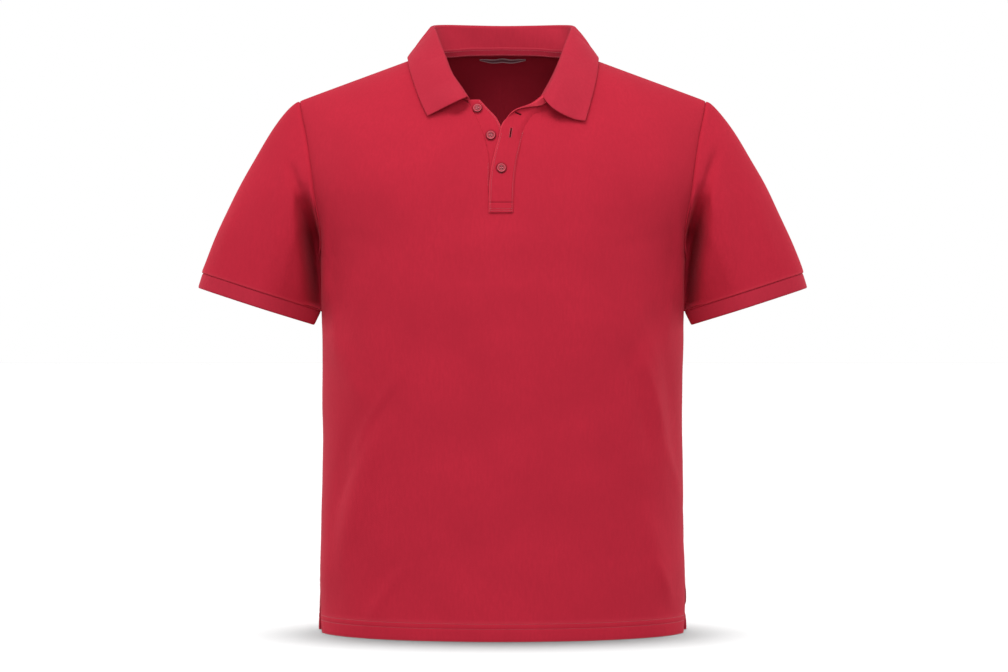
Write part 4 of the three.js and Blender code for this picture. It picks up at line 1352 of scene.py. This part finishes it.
def tape_point(x, drop, inward):
    """A point of the tape, from its place across, below the neck edge and in from the back."""
    edge = torso_at(BACK, x, along(BACK_NECK, np.abs(x))[..., 1])
    out = unit(torso_normal(BACK, edge) * np.array([1, 1, 0]))
    return edge - out * np.asarray(inward, float)[..., None] - xyz(0 * x, 0 * x, drop)


def make_tape():
    """The tape over the back neck seam: it stands in front of the back and turns in below."""
    drop, inward = (column[:, None] for column in np.array(TAPE_SECTION, float).T)
    x = np.linspace(-TAPE_REACH, TAPE_REACH, 121)[None, :] + 0 * drop
    inner, outer = tape_point(x, drop, inward), tape_point(x, drop - 0.1, inward + TAPE_THICK)
    worn = 0.8 * gauss(drop + 2.4, 0.8) + 0.6 * gauss(drop - 8, 0.8) + 0 * x
    tape = dress(wall("neck_tape_cloth", outer, inner, TAPE, worn=worn), "neck_tape")
    line = np.linspace(-TAPE_REACH + 1, TAPE_REACH - 1, 200)
    runs = []
    for below in TAPE_STITCHES:
        inward = np.full(200, np.interp(below, *np.array(TAPE_SECTION).T) + TAPE_THICK)
        points = tape_point(line, below + 0 * line, inward)
        runs.append(stitch_run(points, tape_point(line, below + 0 * line, inward + 1) - points, pitch=2.6))
    sewing = sew("neck_tape_sewing", runs)


def make_label():
    """A plain woven label, deepest in its middle and standing off a little there."""
    across, share = np.meshgrid(shares(50, (0.01, 0.02)), shares(14, (0.04,)))
    x = (across - 0.5) * LABEL_WIDTH
    middle = 1 - (2 * across - 1) ** 2
    z = along(BACK_NECK, np.abs(x))[..., 1] - LABEL_DROP
    deep = LABEL_END + (LABEL_DEPTH - LABEL_END) * middle**0.7
    wavy = 0.6 * np.sin(across * 14 + 1) * middle
    z = z - share * deep + wavy
    lift = -CLOTH - INSIDE_GAP - 1.8 * middle * share
    outer, inner = lifted(BACK, x, z, lift - 0.6), lifted(BACK, x, z, lift)
    from_edge = np.minimum(np.minimum(share, 1 - share) * deep, (0.5 - np.abs(across - 0.5)) * LABEL_WIDTH)
    label = wall("label_cloth", outer, inner, LABEL, worn=gauss(from_edge, 0.8), light_edges=1.0)
    dress(label, "label")


# Stage

# Light that falls on the shirt from the room: even, from above, from the front and from behind
ROOM_LEVEL = 0.42
ROOM_UP = 0.30
ROOM_FRONT = 0.22
ROOM_BACK = 0.55
FLOOR_GLOW = 0.13
FLOOR_GREY = 0.1
OVERHEAD_POWER = 27
OVERHEAD_WIDTH = 15
# Area lights, in metres: name, place, target, power, size
LIGHTS = [
    ("key", (-0.35, -1.7, 1.75), (0, 0, -0.3), 26, 1.1),
    ("front", (0.1, -2.2, 0.45), (0, 0, -0.3), 13, 1.2),
    ("neck", (0, -1.6, -0.26), (0, 0.08, -0.03), 2.1, 0.35),
    ("side_right", (-1.9, 0.85, -0.3), (0, 0, -0.5), 18, 1.0),
    ("side_left", (1.9, 0.85, -0.3), (0, 0, -0.5), 18, 1.0),
]


def make_room():
    """A room that looks white, and that lights the shirt from above, in front and behind."""
    world = bpy.data.worlds.new("room")
    bpy.context.scene.world = world
    graph = Graph(world, "Background")
    way = graph.node("ShaderNodeSeparateXYZ", {0: graph.where("Generated")}).outputs
    front = graph.math("MAXIMUM", graph.math("MULTIPLY", way[1], -1.0), 0.0)
    back = graph.math("MAXIMUM", way[1], 0.0)
    light = graph.math("MULTIPLY_ADD", way[2], ROOM_UP, ROOM_LEVEL)
    light = graph.math("MULTIPLY_ADD", front, ROOM_FRONT, light)
    light = graph.math("MULTIPLY_ADD", back, ROOM_BACK, light)
    seen = graph.node("ShaderNodeLightPath").outputs["Is Camera Ray"]
    white = graph.math("MULTIPLY", seen, graph.math("SUBTRACT", 1.0, light))
    graph.set(Strength=graph.math("ADD", light, white), Color=(1, 1, 1, 1))


def make_floor():
    """A white floor just under the hem, which takes the body's soft shadow from one light overhead."""
    graph = Graph(bpy.data.materials.new("floor_white"))
    graph.set(Base_Color=(FLOOR_GREY, FLOOR_GREY, FLOOR_GREY, 1), Roughness=0.9, Specular_IOR_Level=0.0)
    graph.set(Emission_Color=(1, 1, 1, 1), Emission_Strength=FLOOR_GLOW)
    bpy.ops.mesh.primitive_plane_add(size=60, location=(0, 0, (HEM_Z - 0.5) * MM))
    floor = bpy.context.object
    floor.name = "floor"
    floor.data.materials.append(graph.owner)
    floor.visible_diffuse = False
    receives = bpy.data.collections.new("lit_floor")
    receives.objects.link(floor)
    blocks = bpy.data.collections.new("shading_body")
    for name in ("front_cloth", "back_cloth"):
        blocks.objects.link(bpy.data.objects[name])
    overhead = make_light("overhead", (0, 0.23, 2), (0, 0, -0.76), OVERHEAD_POWER, kind="SUN")
    overhead.data.angle = math.radians(OVERHEAD_WIDTH)
    overhead.light_linking.receiver_collection = receives
    overhead.light_linking.blocker_collection = blocks


def make_light(name, place, target, power, size=1.0, kind="AREA"):
    data = bpy.data.lights.new(name, kind)
    data.energy = power
    if kind == "AREA":
        data.size = size
    light = bpy.data.objects.new(name, data)
    light.location = place
    aim = Vector(target) - Vector(place)
    light.rotation_euler = aim.to_track_quat("-Z", "Y").to_euler()
    bpy.context.scene.collection.objects.link(light)
    return light


def link_light(light, name, state):
    """A light that falls only on one object, or on all but that one."""
    linked = bpy.data.collections.new(f"{light.name}_{name}")
    linked.objects.link(bpy.data.objects[name])
    linked.collection_objects[0].light_linking.link_state = state
    light.light_linking.receiver_collection = linked


make_camera()
make_front()
make_back()
make_sleeve("right", SLEEVE_RIGHT_CREASES)
make_sleeve("left", SLEEVE_LEFT_CREASES)
make_cuff("right")
make_cuff("left")
make_collar()
make_under_band()
make_upper_band()
make_buttons()
make_tape()
make_label()
make_room()
make_floor()
lights = {row[0]: make_light(*row) for row in LIGHTS}
link_light(lights["front"], "back_cloth", "EXCLUDE")
link_light(lights["neck"], "back_cloth", "INCLUDE")
bpy.context.scene.view_settings.view_transform = "Standard"
